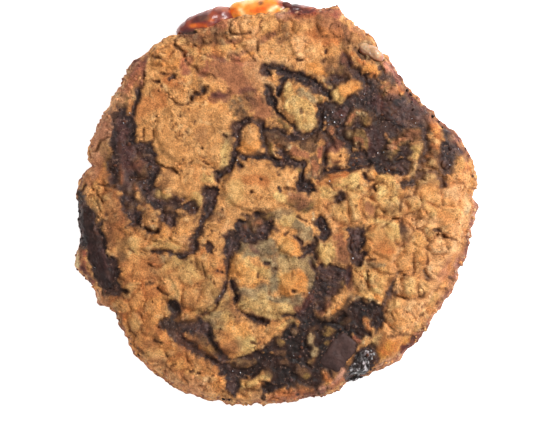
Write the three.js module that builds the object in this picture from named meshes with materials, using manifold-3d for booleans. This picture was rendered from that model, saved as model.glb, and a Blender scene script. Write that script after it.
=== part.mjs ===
// A chocolate chip marshmallow cookie lying flat, in millimetres, with +Z up and the
// origin under its middle. +Y is the side where the marshmallow ran out of the dough.
// Needs the npm packages three and manifold-3d.

import * as THREE from 'three';
import { mergeVertices } from 'three/addons/utils/BufferGeometryUtils.js';
import Module from 'manifold-3d';

// Driving sizes of the dough
const meanRadius = 51.8; // of the round that the dough spread to
const footHeight = 1.1; // where the side wall turns into the rounded rim
const rimHeight = 5.6; // top of the rounded rim
const rimRound = 4.6; // the rim is rounded over this width
const crownRise = 2.2; // the middle stands this much above the rim
const crownReach = 18; // how slowly it gets there
const footInset = 0.6; // the underside is this much smaller all round
const crustLift = 1.6; // crust stands this far above the chocolate between its plates
const crustEdge = 1.5; // width of the step between them
const minSkin = 1.6; // nowhere inside the rim is the dough thinner than this
const skirtRise = 0.9; // slope of the thin skirt outside the rim
const ringStep = 2.02; // size of the facets on top
const rimRings = [0, 0.35, 1, 2, 3.3]; // closer rings of facets round the rim, this far inward
const underRings = [[0.9, 80], [0.6, 32], [0.25, 12]]; // share of the outline and points of each
const clearance = 0.3; // between the dough and each piece set in it
const trayDepth = -1; // pockets at the edge are cut down past the underside

// Where the dough spread further or less than the mean round:
// at and spread in degrees from +X, rise in millimetres.
const outlineFeatures = [
  { at: 39, spread: 12.7, rise: -6.1 }, // long straight side, upper right
  { at: 20.9, spread: 2.1, rise: 0.8 },
  { at: 9.9, spread: 5.2, rise: 1.5 },
  { at: 2.3, spread: 1.1, rise: -0.7 },
  { at: -2.2, spread: 1.5, rise: 1.5 }, // nose on the right
  { at: 55, spread: 2.2, rise: -0.9 },
  { at: 73.2, spread: 1.7, rise: 2.4 }, // blunt corner, upper right
  { at: 101.4, spread: 12.2, rise: -1.7 }, // bay where the marshmallow came out
  { at: 126.9, spread: 1.8, rise: 0.8 },
  { at: 135.8, spread: 2.6, rise: 0.9 },
  { at: 155, spread: 7.2, rise: -0.9 },
  { at: 169, spread: 1.3, rise: -2.2 },
  { at: 177.9, spread: 1.3, rise: 1.5 },
  { at: -173.6, spread: 2.4, rise: 0.8 },
  { at: -163.3, spread: 2.9, rise: 3.2 }, // lump on the left edge
  { at: -158.7, spread: 3.5, rise: 1.6 },
  { at: -150.5, spread: 2.1, rise: 2 },
  { at: -145.8, spread: 3.6, rise: -1.2 },
  { at: -131.4, spread: 1.7, rise: 0.8 },
  { at: -118.8, spread: 14.9, rise: 4 }, // dough ran out furthest here, lower left
  { at: -92.9, spread: 6.2, rise: 0.7 },
  { at: -75.9, spread: 1.9, rise: 0.9 },
  { at: -67, spread: 2.6, rise: -1.7 },
  { at: -52.5, spread: 2.1, rise: 0.9 },
  { at: -33.8, spread: 2, rise: -1.1 },
  { at: -20.3, spread: 1.8, rise: -1.1 },
];
const crumbSize = 2.4; // crumbs along the outline
const crumbRise = 0.45;

// Where the thick crust stops short of the outline and leaves a thin skirt of dough
const skirts = [
  { at: -32, spread: 17, width: 3.6 }, // lower right
  { at: 2, spread: 12, width: 1.6 },
  { at: 41, spread: 14, width: 1.2 },
  { at: -118, spread: 22, width: 0.9 },
];

// Channels and pools of melted chocolate, sunk between the plates of crust
const seams = [
  { half: 1.6, path: [[-43.5, 13], [-43.5, 9], [-39.5, 1], [-38.5, -4]] },
  { half: 3, path: [[-39, 13], [-34, 12], [-33, 8]] },
  { half: 2, path: [[-34, 5], [-33, 1], [-29.5, -2]] },
  { half: 1.9, path: [[-29, -1], [-24, -1.5], [-20, 0.5]] },
  { half: 2.3, path: [[-37, -3], [-36, -5]] },
  { half: 2.3, path: [[-43.4, -16.5], [-42.6, -21]] },
  { half: 2, path: [[-18, 5], [-17, 0], [-18.5, -3]] },
  { half: 1.1, path: [[-15, 7.5], [-11.5, 9.5], [-10.7, 14], [-10.2, 18]] },
  { half: 1, path: [[-10.5, 18.5], [-8.5, 20.5], [-5, 20.8], [-3.6, 18], [-3.8, 14.5]] },
  { half: 1, path: [[-8.5, 11.5], [-5, 12.3], [-2, 11.3], [6.5, 10]] },
  { half: 1.4, path: [[6.8, 9.5], [6.5, 5.5], [7, 3]] },
  { half: 0.9, path: [[-19, -3], [-20.3, -6], [-22.5, -13]] },
  { half: 0.7, path: [[-22.5, -13], [-26, -13.5], [-31, -12.8], [-35, -12]] },
  { half: 1.6, path: [[-26.8, -27], [-27, -31], [-29, -31.5]] },
  { half: 1.4, path: [[-28, -32], [-20, -31.5], [-18.3, -34.5], [-13.5, -39.5]] },
  { half: 1.4, path: [[-27, -34], [-24, -37], [-19, -40], [-15, -42]] },
  { half: 2, path: [[-13, -43], [-8, -44.5], [-4, -43]] },
  { half: 2.2, path: [[-5, -40.5], [0, -39.5], [3, -42], [4, -45]] },
  { half: 0.9, path: [[-12.5, -9.5], [-12.2, -19], [-10.5, -26.5], [-5, -29.3], [0, -30], [9, -27]] },
  { half: 2.2, path: [[-10, -6], [-6, -5.5], [-1, -5]] },
  { half: 2.2, path: [[9.5, -13], [10, -18], [10, -23], [8, -27]] },
  { half: 2.4, path: [[13, -18], [16, -19], [15, -22]] },
  { half: 2.4, path: [[4.2, -37], [5.6, -34.5]] },
  { half: 2.2, path: [[9, -32.8], [16, -33.3]] },
  { half: 1.8, path: [[11.5, -41], [12, -38]] },
  { half: 1.8, path: [[20, -27.5], [24, -28.5], [27.5, -27.5]] },
  { half: 1.9, path: [[16, -30], [20, -31], [22, -33]] },
  { half: 1.1, path: [[0.5, 35], [4, 33.8], [8, 32], [12, 30.5]] },
  { half: 0.9, path: [[-2, 29], [-0.8, 25.5], [1, 22.5], [4, 20], [5, 18]] },
  { half: 0.9, path: [[-2.5, 18], [1, 17.5], [5, 17], [9, 18.5], [10.5, 22]] },
  { half: 1.6, path: [[10.5, 24], [13, 22], [12, 18.5]] },
  { half: 2.4, path: [[16.8, 36.5], [17.6, 33.5]] },
  { half: 2.6, path: [[19.8, 34], [23, 31.5], [25.5, 28.5]] },
  { half: 1.8, path: [[16, 25.3], [21.5, 26.5]] },
  { half: 1.6, path: [[27.5, 32.5], [29.5, 32.2]] },
  { half: 1, path: [[38, 21.5], [38.3, 16], [38, 12]] },
  { half: 2.6, path: [[25.6, 20.5], [25.6, 14.5]] },
  { half: 1.9, path: [[28, 20], [33, 18.2]] },
  { half: 1.2, path: [[18, 18.5], [21.5, 20.5], [23, 19.5]] },
  { half: 1.3, path: [[20, 12.2], [23, 12.3], [26, 12]] },
  { half: 1.2, path: [[36, 10.5], [35.5, 6], [33.5, 4]] },
  { half: 1.6, path: [[42.8, 8.8], [45.3, 9.6]] },
  { half: 0.8, path: [[12.5, 8.2], [17, 8.4], [21.5, 8.8]] },
  { half: 1.5, path: [[15.4, 1.7], [17.2, 2.1]] },
];

// Plates and knobs of crust that stand above the rest: middle, half sizes and lift
const plates = [
  { x: -21, y: 18, a: 10.5, b: 9, lift: 1.0 }, // the large plate, upper left
  { x: -25, y: 31, a: 10, b: 3, lift: 0.5 },
  { x: -29, y: 38, a: 4, b: 4, lift: 0.6 },
  { x: -23, y: 5, a: 7.5, b: 4, lift: 0.5 },
  { x: -7, y: 15.8, a: 2.6, b: 3.2, lift: 0.8 }, // crumb alone in the chocolate
  { x: -5, y: 4, a: 9.5, b: 6.5, lift: 1.1 }, // the middle plate
  { x: -2, y: -19, a: 10.5, b: 10.5, lift: 0.7 }, // the round plate below it
  { x: 4, y: -11.5, a: 3.5, b: 3, lift: 0.8 },
  { x: 5, y: -21, a: 4, b: 3.5, lift: 0.9 },
  { x: -9, y: -17, a: 3.5, b: 3, lift: 0.5 },
  { x: 5, y: -5.5, a: 4, b: 3, lift: 0.5 },
  { x: -22, y: -21, a: 9, b: 7.5, lift: 0.8 },
  { x: -34, y: -9, a: 11, b: 4, lift: 0.5 },
  { x: -16, y: -8, a: 4, b: 3.5, lift: 0.5 },
  { x: -11, y: -35, a: 7.5, b: 5, lift: 0.9 },
  { x: -1, y: -33, a: 3.5, b: 2, lift: 0.5 },
  { x: -37, y: -27, a: 7, b: 11, lift: 0.4 },
  { x: -22, y: -44, a: 9, b: 4.5, lift: 0.4 },
  { x: 5, y: 26, a: 4.5, b: 6, lift: 0.7 },
  { x: 6.5, y: 41, a: 4, b: 5, lift: 0.6 },
  { x: -7, y: 45, a: 5, b: 3.5, lift: 0.5 },
  { x: 18, y: 27.5, a: 3.2, b: 1.8, lift: 0.6 },
  { x: 18, y: 2, a: 6, b: 5.5, lift: 0.5 },
  { x: 29, y: 2, a: 4.5, b: 6, lift: 0.6 },
  { x: 43, y: -2.5, a: 6.5, b: 7, lift: 0.8 },
  { x: 28, y: -10, a: 5, b: 5, lift: 0.6 },
  { x: 37, y: -11, a: 4.5, b: 5.5, lift: 0.5 },
  { x: 34.5, y: -21.5, a: 3.5, b: 3.5, lift: 0.5 },
  { x: 34.5, y: -29, a: 6, b: 5, lift: 0.6 },
  { x: -46, y: 4, a: 4, b: 6, lift: 0.4 },
];
const plateEdge = 1.7; // width of a plate's sloping edge
const knobSize = 4.4; // the crust is knobbly all over: size and height of a knob
const knobRise = 0.9;
const seamWander = { amount: 0.7, size: 4, seed: 11 }; // how crookedly the edges run
const plateWander = { amount: 0.8, size: 5, seed: 21 };

// Pieces of chocolate set in the dough, along the curve of its top.
// proud is how far a piece's upper face stands above the dough's mean height.
const chunks = [
  { name: 'chocolate_left', half: 2.5, proud: -0.1, thick: 3, blunt: 3.6,
    path: [[-41, 22], [-40.3, 15], [-39.4, 8]] },
  { name: 'chocolate_left_edge', half: 2.9, proud: 0.4, thick: 4.4, detail: 4,
    path: [[-50, -1.5], [-48.6, -7.5], [-46.8, -13], [-44.9, -18], [-44.2, -21.5]] },
  { name: 'chocolate_lower', half: 3.3, proud: 0.5, thick: 3.8, blunt: 4.5, rough: 0.25,
    path: [[14.9, -41], [17.3, -37.6]] },
  { name: 'chocolate_lower_edge', half: 2.7, proud: 0.5, thick: 4,
    path: [[19.4, -44.7], [21.9, -42.9], [23, -40.2]] },
  { name: 'chocolate_upper_right', half: 3.6, proud: 0, thick: 3.4, blunt: 4,
    path: [[27.2, 26.2], [31.3, 23.9], [35.2, 22]] },
  { name: 'chocolate_right', half: 2.3, proud: 0.1, thick: 3, detail: 2,
    path: [[43.6, 10.4], [45.3, 13.2]] },
  { name: 'chocolate_right_inner', half: 1.9, proud: -0.1, thick: 2.6, detail: 2,
    path: [[27.3, 9.6], [30, 9], [33, 9.4]] },
  { name: 'chocolate_middle', half: 1.8, proud: -0.1, thick: 2.6, detail: 2,
    path: [[11.4, -4.8], [11.9, -8]] },
  { name: 'chocolate_middle_right', half: 1.9, proud: -0.1, thick: 2.6, detail: 2,
    path: [[20.1, -8.2], [20.5, -12.6]] },
  { name: 'chocolate_upper', half: 2.2, proud: 0, thick: 2.8, detail: 2, path: [[15.4, 22], [17, 23.4]] },
];
const chunkFinish = { blunt: 3, rough: 0.45, color: 0x4b3431, roughness: 0.5 };
const bareMargin = 0.5; // the crust stops this far outside a piece of chocolate

// Marshmallow that melted out at the edge and set on the tray, and one nub of it by the
// crust. top is the highest point above the tray.
const lobes = [
  { name: 'marshmallow_left', half: 3.1, top: 5.4, thick: 9, color: 0xaf6354,
    path: [[-23.2, 45], [-19, 46.8], [-14.4, 48.8]] },
  { name: 'marshmallow_middle', half: 3.1, top: 4.8, thick: 8, color: 0xef914b,
    path: [[-9.6, 50], [-4, 50.5], [1.6, 50.3]] },
  { name: 'marshmallow_right', half: 1.8, top: 4.2, thick: 7, color: 0xa2645c,
    path: [[3, 50.1], [7, 49.9], [9.6, 49.3]] },
  { name: 'marshmallow_nub', half: 1.6, top: 6, thick: 4, color: 0xcfae95,
    path: [[22.7, 40.3], [26.3, 37.9]] },
];
const lobeFinish = { blunt: 2.6, rough: 0.35, roughness: 0.3 };

const doughFinish = { color: 0xcd9158, roughness: 0.9 };
const dentSize = 3; // dents and swellings on chocolate and marshmallow

const clamp = (value) => Math.min(1, Math.max(0, value));
const ease = (value) => value * value * (3 - 2 * value);
const mix = (a, b, t) => a + (b - a) * t;

// A number from 0 to 1 that is always the same for one grid cell
function cellValue(ix, iy, seed) {
  let h = Math.imul(ix, 374761393) ^ Math.imul(iy, 668265263) ^ Math.imul(seed, 1274126177);
  h = Math.imul(h ^ (h >>> 15), 2246822519);
  h = Math.imul(h ^ (h >>> 13), 3266489917);
  return ((h ^ (h >>> 16)) >>> 0) / 4294967296;
}

// Smooth bumps one unit apart, from -1 to 1
function noise(x, y, seed) {
  const ix = Math.floor(x);
  const iy = Math.floor(y);
  const u = ease(x - ix);
  const low = mix(cellValue(ix, iy, seed), cellValue(ix + 1, iy, seed), u);
  const high = mix(cellValue(ix, iy + 1, seed), cellValue(ix + 1, iy + 1, seed), u);
  return 2 * mix(low, high, ease(y - iy)) - 1;
}

// Distance to the nearest of the points scattered one to a unit cell
function knobDistance(x, y, seed) {
  let nearest = Infinity;
  for (let ix = Math.floor(x) - 1; ix <= Math.floor(x) + 1; ix++) {
    for (let iy = Math.floor(y) - 1; iy <= Math.floor(y) + 1; iy++) {
      const px = ix + cellValue(ix, iy, seed);
      const py = iy + cellValue(ix, iy, seed + 1);
      nearest = Math.min(nearest, Math.hypot(x - px, y - py));
    }
  }
  return nearest;
}

function degreesFrom(angle, at) {
  return THREE.MathUtils.euclideanModulo(angle * THREE.MathUtils.RAD2DEG - at + 180, 360) - 180;
}

function radiusAt(angle) {
  let radius = meanRadius;
  for (const { at, spread, rise } of outlineFeatures) {
    radius += rise * Math.exp(-0.5 * (degreesFrom(angle, at) / spread) ** 2);
  }
  const along = meanRadius / crumbSize;
  return radius + crumbRise * noise(Math.cos(angle) * along, Math.sin(angle) * along, 7);
}

function skirtAt(angle) {
  let width = 0;
  for (const skirt of skirts) {
    width += skirt.width * Math.exp(-0.5 * (degreesFrom(angle, skirt.at) / skirt.spread) ** 2);
  }
  return width;
}

function distanceToPath(x, y, path) {
  let nearest = Infinity;
  for (let i = 1; i < path.length; i++) {
    const [ax, ay] = path[i - 1];
    const [dx, dy] = [path[i][0] - ax, path[i][1] - ay];
    const t = clamp(((x - ax) * dx + (y - ay) * dy) / (dx * dx + dy * dy));
    nearest = Math.min(nearest, Math.hypot(x - ax - t * dx, y - ay - t * dy));
  }
  return nearest;
}

// A point moved a little aside, so that what is drawn there runs crookedly
function wander(x, y, { amount, size, seed }) {
  return [x + amount * noise(x / size, y / size, seed), y + amount * noise(x / size, y / size, seed + 1)];
}

// 1 on crust and 0 on the chocolate in a seam
function crustAt(x, y) {
  const [wx, wy] = wander(x, y, seamWander);
  let inside = -Infinity;
  for (const { half, path } of seams) inside = Math.max(inside, half - distanceToPath(wx, wy, path));
  for (const { half, path } of chunks) {
    inside = Math.max(inside, half + bareMargin - distanceToPath(x, y, path));
  }
  return ease(clamp(0.5 - inside / crustEdge));
}

function plateLift(x, y) {
  const [wx, wy] = wander(x, y, plateWander);
  let lift = 0;
  for (const plate of plates) {
    const across = Math.hypot((wx - plate.x) / plate.a, (wy - plate.y) / plate.b);
    lift += plate.lift * ease(clamp((1 - across) * Math.min(plate.a, plate.b) / plateEdge));
  }
  return lift;
}

// Height of the dough above the tray without its crust, and the share of the rim's rise there
function domeAt(x, y) {
  const angle = Math.atan2(y, x);
  const inward = Math.max(0, radiusAt(angle) - Math.hypot(x, y));
  const skirt = skirtAt(angle);
  const round = 1 - clamp((inward - skirt) / rimRound);
  const rise = Math.sqrt(1 - round * round);
  const foot = footHeight + skirtRise * clamp(inward / (skirt + 0.5));
  const crown = crownRise * (1 - Math.exp(-inward / crownReach));
  return { height: mix(foot, rimHeight, rise) + crown, rise, inward };
}

// Height of the top above the tray
function topAt(x, y) {
  const { height, rise, inward } = domeAt(x, y);
  const knobs = knobRise * (0.5 - knobDistance(x / knobSize, y / knobSize, 31));
  const crust = crustAt(x, y);
  const relief = crustLift * (crust - 0.5) + crust * (plateLift(x, y) + knobs);
  return Math.max(footHeight + minSkin * clamp(inward), height + relief * rise);
}

// One closed loop of points round the dough, shrunk to a share of the outline
function makeRing(vertices, share, count, height, inset = 0) {
  const ring = [];
  for (let i = 0; i < count; i++) {
    const angle = ((i + (count % 2) / 2) / count) * 2 * Math.PI;
    const radius = share * radiusAt(angle) - inset;
    const [x, y] = [radius * Math.cos(angle), radius * Math.sin(angle)];
    ring.push({ angle, index: vertices.length / 3 });
    vertices.push(x, y, height(x, y));
  }
  return ring;
}

// The strip of triangles between two loops, whatever their numbers of points.
// The first loop is the one on the right hand seen from outside, going round.
function joinRings(triangles, first, second) {
  let [i, j] = [0, 0];
  const angleOf = (ring, k) => ring[k % ring.length].angle + (k >= ring.length ? 2 * Math.PI : 0);
  while (i < first.length || j < second.length) {
    const a = first[i % first.length].index;
    const b = second[j % second.length].index;
    const stepFirst = j >= second.length
      || (i < first.length && angleOf(first, i + 1) <= angleOf(second, j + 1));
    if (stepFirst) triangles.push(a, first[(i + 1) % first.length].index, b);
    else triangles.push(a, second[(j + 1) % second.length].index, b);
    if (stepFirst) i++;
    else j++;
  }
}

function closeRing(triangles, ring, centre, upward) {
  ring.forEach(({ index }, i) => {
    const next = ring[(i + 1) % ring.length].index;
    triangles.push(...(upward ? [index, next, centre] : [next, index, centre]));
  });
}

// The dough: rings of points over the top, then the side wall and the flat underside
function makeDough() {
  const vertices = [];
  const triangles = [];
  const innerCount = Math.round((meanRadius - rimRings.at(-1)) / ringStep);
  const inwards = [...rimRings];
  for (let i = 1; i < innerCount; i++) inwards.push(mix(rimRings.at(-1), meanRadius, i / innerCount));
  let last = null;
  let rim = null;
  for (const inward of inwards) {
    const share = 1 - inward / meanRadius;
    const count = Math.max(6, Math.round((2 * Math.PI * share * meanRadius) / ringStep));
    const ring = makeRing(vertices, share, count, inward ? topAt : () => footHeight);
    if (last) joinRings(triangles, last, ring);
    else rim = ring;
    last = ring;
  }
  vertices.push(0, 0, topAt(0, 0));
  closeRing(triangles, last, vertices.length / 3 - 1, true);
  const floor = () => 0;
  let under = makeRing(vertices, 1, rim.length, floor, footInset);
  joinRings(triangles, under, rim);
  for (const [share, count] of underRings) {
    const ring = makeRing(vertices, share, count, floor);
    joinRings(triangles, ring, under);
    under = ring;
  }
  vertices.push(0, 0, 0);
  closeRing(triangles, under, vertices.length / 3 - 1, false);
  const geometry = new THREE.BufferGeometry();
  geometry.setAttribute('position', new THREE.Float32BufferAttribute(vertices, 3));
  geometry.setIndex(triangles);
  return geometry;
}

// A blunt rounded piece whose middle line follows a path, dented here and there.
// spare makes it larger all round, for cutting the pocket that it sits in.
// Given a top it lies level, and otherwise along the dough's own curve.
function makeLump({ path, half, top, proud, thick, blunt, rough, detail = 3 }, seed, floor, spare = 0) {
  const ball = new THREE.IcosahedronGeometry(1, detail);
  ball.deleteAttribute('normal');
  ball.deleteAttribute('uv');
  const geometry = mergeVertices(ball);
  const points = path.map(([x, y]) => new THREE.Vector3(x, y, 0));
  const spine = new THREE.CatmullRomCurve3(points, false, 'catmullrom');
  const length = spine.getLength();
  const position = geometry.getAttribute('position');
  for (let i = 0; i < position.count; i++) {
    const n = new THREE.Vector3().fromBufferAttribute(position, i);
    const powers = n.toArray().reduce((sum, value) => sum + Math.abs(value) ** blunt, 0);
    n.multiplyScalar(powers ** (-1 / blunt));
    const along = n.x * (length / 2 + half);
    const share = clamp(0.5 + along / length);
    const beyond = along - (share - 0.5) * length;
    const heading = spine.getTangentAt(share);
    const place = spine.getPointAt(share).addScaledVector(heading, beyond);
    const dent = rough * noise(place.x / dentSize + n.z, place.y / dentSize - n.y, seed);
    const sideways = new THREE.Vector3(-heading.y, heading.x, 0);
    place.addScaledVector(sideways, n.y * (half + dent));
    const crest = top ?? domeAt(place.x, place.y).height + proud;
    const height = crest - thick / 2 + n.z * (thick / 2 + dent + spare);
    place.addScaledVector(heading, n.x * spare).addScaledVector(sideways, n.y * spare);
    position.setXYZ(i, place.x, place.y, Math.max(floor, height));
  }
  return geometry;
}

const wasm = await Module();
wasm.setup();

function toSolid(geometry) {
  return new wasm.Manifold(new wasm.Mesh({
    numProp: 3,
    vertProperties: new Float32Array(geometry.getAttribute('position').array),
    triVerts: new Uint32Array(geometry.getIndex().array),
  }));
}

// The largest body of a solid, without loose scraps, as a geometry
function toGeometry(solid) {
  const bodies = solid.decompose().sort((a, b) => b.volume() - a.volume());
  const { vertProperties, triVerts } = bodies[0].getMesh();
  const geometry = new THREE.BufferGeometry();
  geometry.setAttribute('position', new THREE.BufferAttribute(vertProperties, 3));
  geometry.setIndex(new THREE.BufferAttribute(triVerts, 1));
  return geometry;
}

const cookie = new THREE.Group();

function addMesh(name, geometry, { color, roughness }) {
  const material = new THREE.MeshStandardMaterial({ color, roughness, metalness: 0 });
  const mesh = new THREE.Mesh(geometry, material);
  mesh.name = name;
  cookie.add(mesh);
}

// Each piece is cut by those placed before it, and the dough by all of them
let dough = toSolid(makeDough());
let taken = null;
const pieces = [
  ...lobes.map((lobe) => ({ ...lobeFinish, ...lobe })),
  ...chunks.map((chunk) => ({ ...chunkFinish, ...chunk })),
];
for (const [i, piece] of pieces.entries()) {
  let solid = toSolid(makeLump(piece, 50 + i, 0));
  const pocket = toSolid(makeLump(piece, 50 + i, trayDepth, clearance));
  if (taken) solid = solid.subtract(taken);
  taken = taken ? taken.add(pocket) : pocket;
  dough = dough.subtract(pocket);
  addMesh(piece.name, toGeometry(solid), piece);
}
addMesh('dough', toGeometry(dough), doughFinish);

export default cookie;
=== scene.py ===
# Chocolate chip marshmallow cookie, seen from straight above on a white surface.
# Sizes of shapes are in millimetres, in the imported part's own frame; meshes are made in metres.
import bmesh
import bpy
import math
import numpy as np
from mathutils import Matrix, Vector
from mathutils.kdtree import KDTree


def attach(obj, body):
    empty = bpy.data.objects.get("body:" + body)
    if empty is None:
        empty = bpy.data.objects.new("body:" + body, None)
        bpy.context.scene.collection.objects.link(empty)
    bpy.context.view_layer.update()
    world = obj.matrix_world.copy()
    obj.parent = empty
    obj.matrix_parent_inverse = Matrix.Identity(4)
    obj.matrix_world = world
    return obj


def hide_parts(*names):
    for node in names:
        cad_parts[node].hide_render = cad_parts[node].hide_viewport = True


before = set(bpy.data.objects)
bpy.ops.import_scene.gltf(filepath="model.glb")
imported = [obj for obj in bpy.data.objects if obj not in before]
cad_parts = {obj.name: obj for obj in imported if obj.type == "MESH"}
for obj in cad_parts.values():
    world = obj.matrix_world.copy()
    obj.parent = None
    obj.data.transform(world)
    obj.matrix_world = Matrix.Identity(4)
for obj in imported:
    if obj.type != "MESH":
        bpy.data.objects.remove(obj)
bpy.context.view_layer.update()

mm = 0.001

# The dough's driving sizes, the same as the solid's
dough = {
    "meanRadius": 51.8,
    "footHeight": 1.1,     # top of the low side wall
    "rimHeight": 5.6,      # top of the rounded rim
    "rimRound": 4.6,       # width that the rim is rounded over
    "crownRise": 2.2,      # middle above rim
    "crownReach": 18,
    "footInset": 0.6,
    "crustLift": 1.6,      # crust above the chocolate beside it
    "crustEdge": 1.3,      # width of that step
    "meltHeight": -0.35,   # the chocolate below the dome, once it has soaked into crumbs
    "minSkin": 1.6,
    "skirtRise": 0.9,
    "plateEdge": 1.2,
    "knobSize": 4.4, "knobRise": 0.9,
    "crumbSize": 2.4, "crumbRise": 0.45,
    "ragSize": 1.3, "ragRise": 0.4,  # smaller crumbs along the edge
    "fineSize": 0.7, "fineRise": 0.14,
    "spacing": 0.335,      # size of the mesh's facets on top
    "underSpacing": 1.0,
    "wallDent": 0.5,       # how far crumbs of the wall stand out or in
}

# at, spread (degrees from +X), rise (mm): where the dough spread further or less
outlineFeatures = [
    (39, 12.7, -6.1), (20.9, 2.1, 0.8), (9.9, 5.2, 1.5), (2.3, 1.1, -0.7), (-2.2, 1.5, 1.5),
    (55, 2.2, -0.9), (73.2, 1.7, 2.4), (101.4, 12.2, -1.7), (126.9, 1.8, 0.8), (135.8, 2.6, 0.9),
    (155, 7.2, -0.9), (169, 1.3, -2.2), (177.9, 1.3, 1.5), (-173.6, 2.4, 0.8), (-163.3, 2.9, 3.2),
    (-158.7, 3.5, 1.6), (-150.5, 2.1, 2), (-145.8, 3.6, -1.2), (-131.4, 1.7, 0.8), (-118.8, 14.9, 4),
    (-92.9, 6.2, 0.7), (-75.9, 1.9, 0.9), (-67, 2.6, -1.7), (-52.5, 2.1, 0.9), (-33.8, 2, -1.1),
    (-20.3, 1.8, -1.1),
]

# at, spread, width: a thin skirt of dough outside the thick crust
skirts = [(-32, 17, 3.6), (2, 12, 1.6), (41, 14, 1.2), (-118, 22, 0.9)]


def clamp(v):
    return np.clip(v, 0, 1)


def ease(v):
    v = clamp(v)
    return v * v * (3 - 2 * v)


def mix(a, b, t):
    return a + (b - a) * t


def cellValue(ix, iy, seed):  # a fixed number from 0 to 1 for each grid cell
    h = ix.astype(np.int64).astype(np.uint32) * np.uint32(374761393)
    h = h ^ (iy.astype(np.int64).astype(np.uint32) * np.uint32(668265263))
    h = h ^ np.uint32((seed * 1274126177) & 0xFFFFFFFF)
    h = (h ^ (h >> np.uint32(15))) * np.uint32(2246822519)
    h = (h ^ (h >> np.uint32(13))) * np.uint32(3266489917)
    return (h ^ (h >> np.uint32(16))).astype(np.float64) / 4294967296


def noise(x, y, seed):  # smooth bumps one unit apart, -1 to 1
    ix, iy = np.floor(x), np.floor(y)
    u = ease(x - ix)
    low = mix(cellValue(ix, iy, seed), cellValue(ix + 1, iy, seed), u)
    high = mix(cellValue(ix, iy + 1, seed), cellValue(ix + 1, iy + 1, seed), u)
    return 2 * mix(low, high, ease(y - iy)) - 1


def layered(x, y, size, seed, octaves=3, gain=0.55):  # noise on noise, for crumbly shapes
    total, height, norm = 0, 1, 0
    for k in range(octaves):
        turn = 0.6 + 1.3 * k  # each layer is turned, so that no grid shows
        px, py = x * math.cos(turn) - y * math.sin(turn), x * math.sin(turn) + y * math.cos(turn)
        total = total + height * noise(px / size, py / size, seed + 7 * k)
        norm += height
        size, height = size * 0.5, height * gain
    return total / norm


def cellDistances(x, y, seed):  # to the two nearest of points scattered one to a unit cell
    ix, iy = np.floor(x), np.floor(y)
    first = np.full(np.shape(x), 9.0)
    second, own = first, first
    for i in (-1, 0, 1):
        for j in (-1, 0, 1):
            value = cellValue(ix + i, iy + j, seed)
            away = np.hypot(x - ix - i - value, y - iy - j - cellValue(ix + i, iy + j, seed + 1))
            second = np.minimum(second, np.maximum(first, away))
            own = np.where(away < first, value, own)
            first = np.minimum(first, away)
    return first, second, own


def lumpRelief(x, y, size, seed):
    # rounded lumps about size mm wide: height from 0 to 1, 1 in the gaps, and a number for each lump
    first, second, own = cellDistances(x / size, y / size, seed)
    gap = second - first
    flank = 1 - clamp(gap / 0.6)
    return 1 - flank * flank, ease(1 - gap / 0.22), own


def pitDepth(x, y, size, share, radius, seed):  # 1 in the middle of scattered round pits
    px, py = x / size, y / size
    ix, iy = np.floor(px), np.floor(py)
    deepest = np.zeros(np.shape(x))
    for i in (-1, 0, 1):
        for j in (-1, 0, 1):
            cx = ix + i + cellValue(ix + i, iy + j, seed)
            cy = iy + j + cellValue(ix + i, iy + j, seed + 1)
            there = cellValue(ix + i, iy + j, seed + 2) < share
            wide = radius * (0.6 + 0.8 * cellValue(ix + i, iy + j, seed + 3))
            away = np.hypot(px - cx, py - cy) * size / wide
            deepest = np.maximum(deepest, there * ease(1.3 - away))
    return deepest


def wander(x, y, amount, size, seed):
    return x + amount * noise(x / size, y / size, seed), y + amount * noise(x / size, y / size, seed + 1)


def bell(angle, at, spread):
    off = (np.degrees(angle) - at + 180) % 360 - 180
    return np.exp(-0.5 * (off / spread) ** 2)


def radiusAt(angle):
    along = dough["meanRadius"] / dough["crumbSize"]
    bumps = noise(np.cos(angle) * along, np.sin(angle) * along, 7)
    made = dough["meanRadius"] + dough["crumbRise"] * bumps
    along = dough["meanRadius"] * np.cos(angle), dough["meanRadius"] * np.sin(angle)
    made = made + dough["ragRise"] * layered(*along, dough["ragSize"], 9, 2)
    made = made + dough["fineRise"] * noise(along[0] / dough["fineSize"], along[1] / dough["fineSize"], 10)
    for at, spread, rise in outlineFeatures:
        made = made + rise * bell(angle, at, spread)
    return made


def skirtAt(angle):
    return sum(width * bell(angle, at, spread) for at, spread, width in skirts)


def distanceToPath(x, y, path):
    nearest = np.hypot(x - path[0][0], y - path[0][1])
    for (ax, ay), (bx, by) in zip(path, path[1:]):
        dx, dy = bx - ax, by - ay
        t = clamp(((x - ax) * dx + (y - ay) * dy) / (dx * dx + dy * dy))
        nearest = np.minimum(nearest, np.hypot(x - ax - t * dx, y - ay - t * dy))
    return nearest


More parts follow.
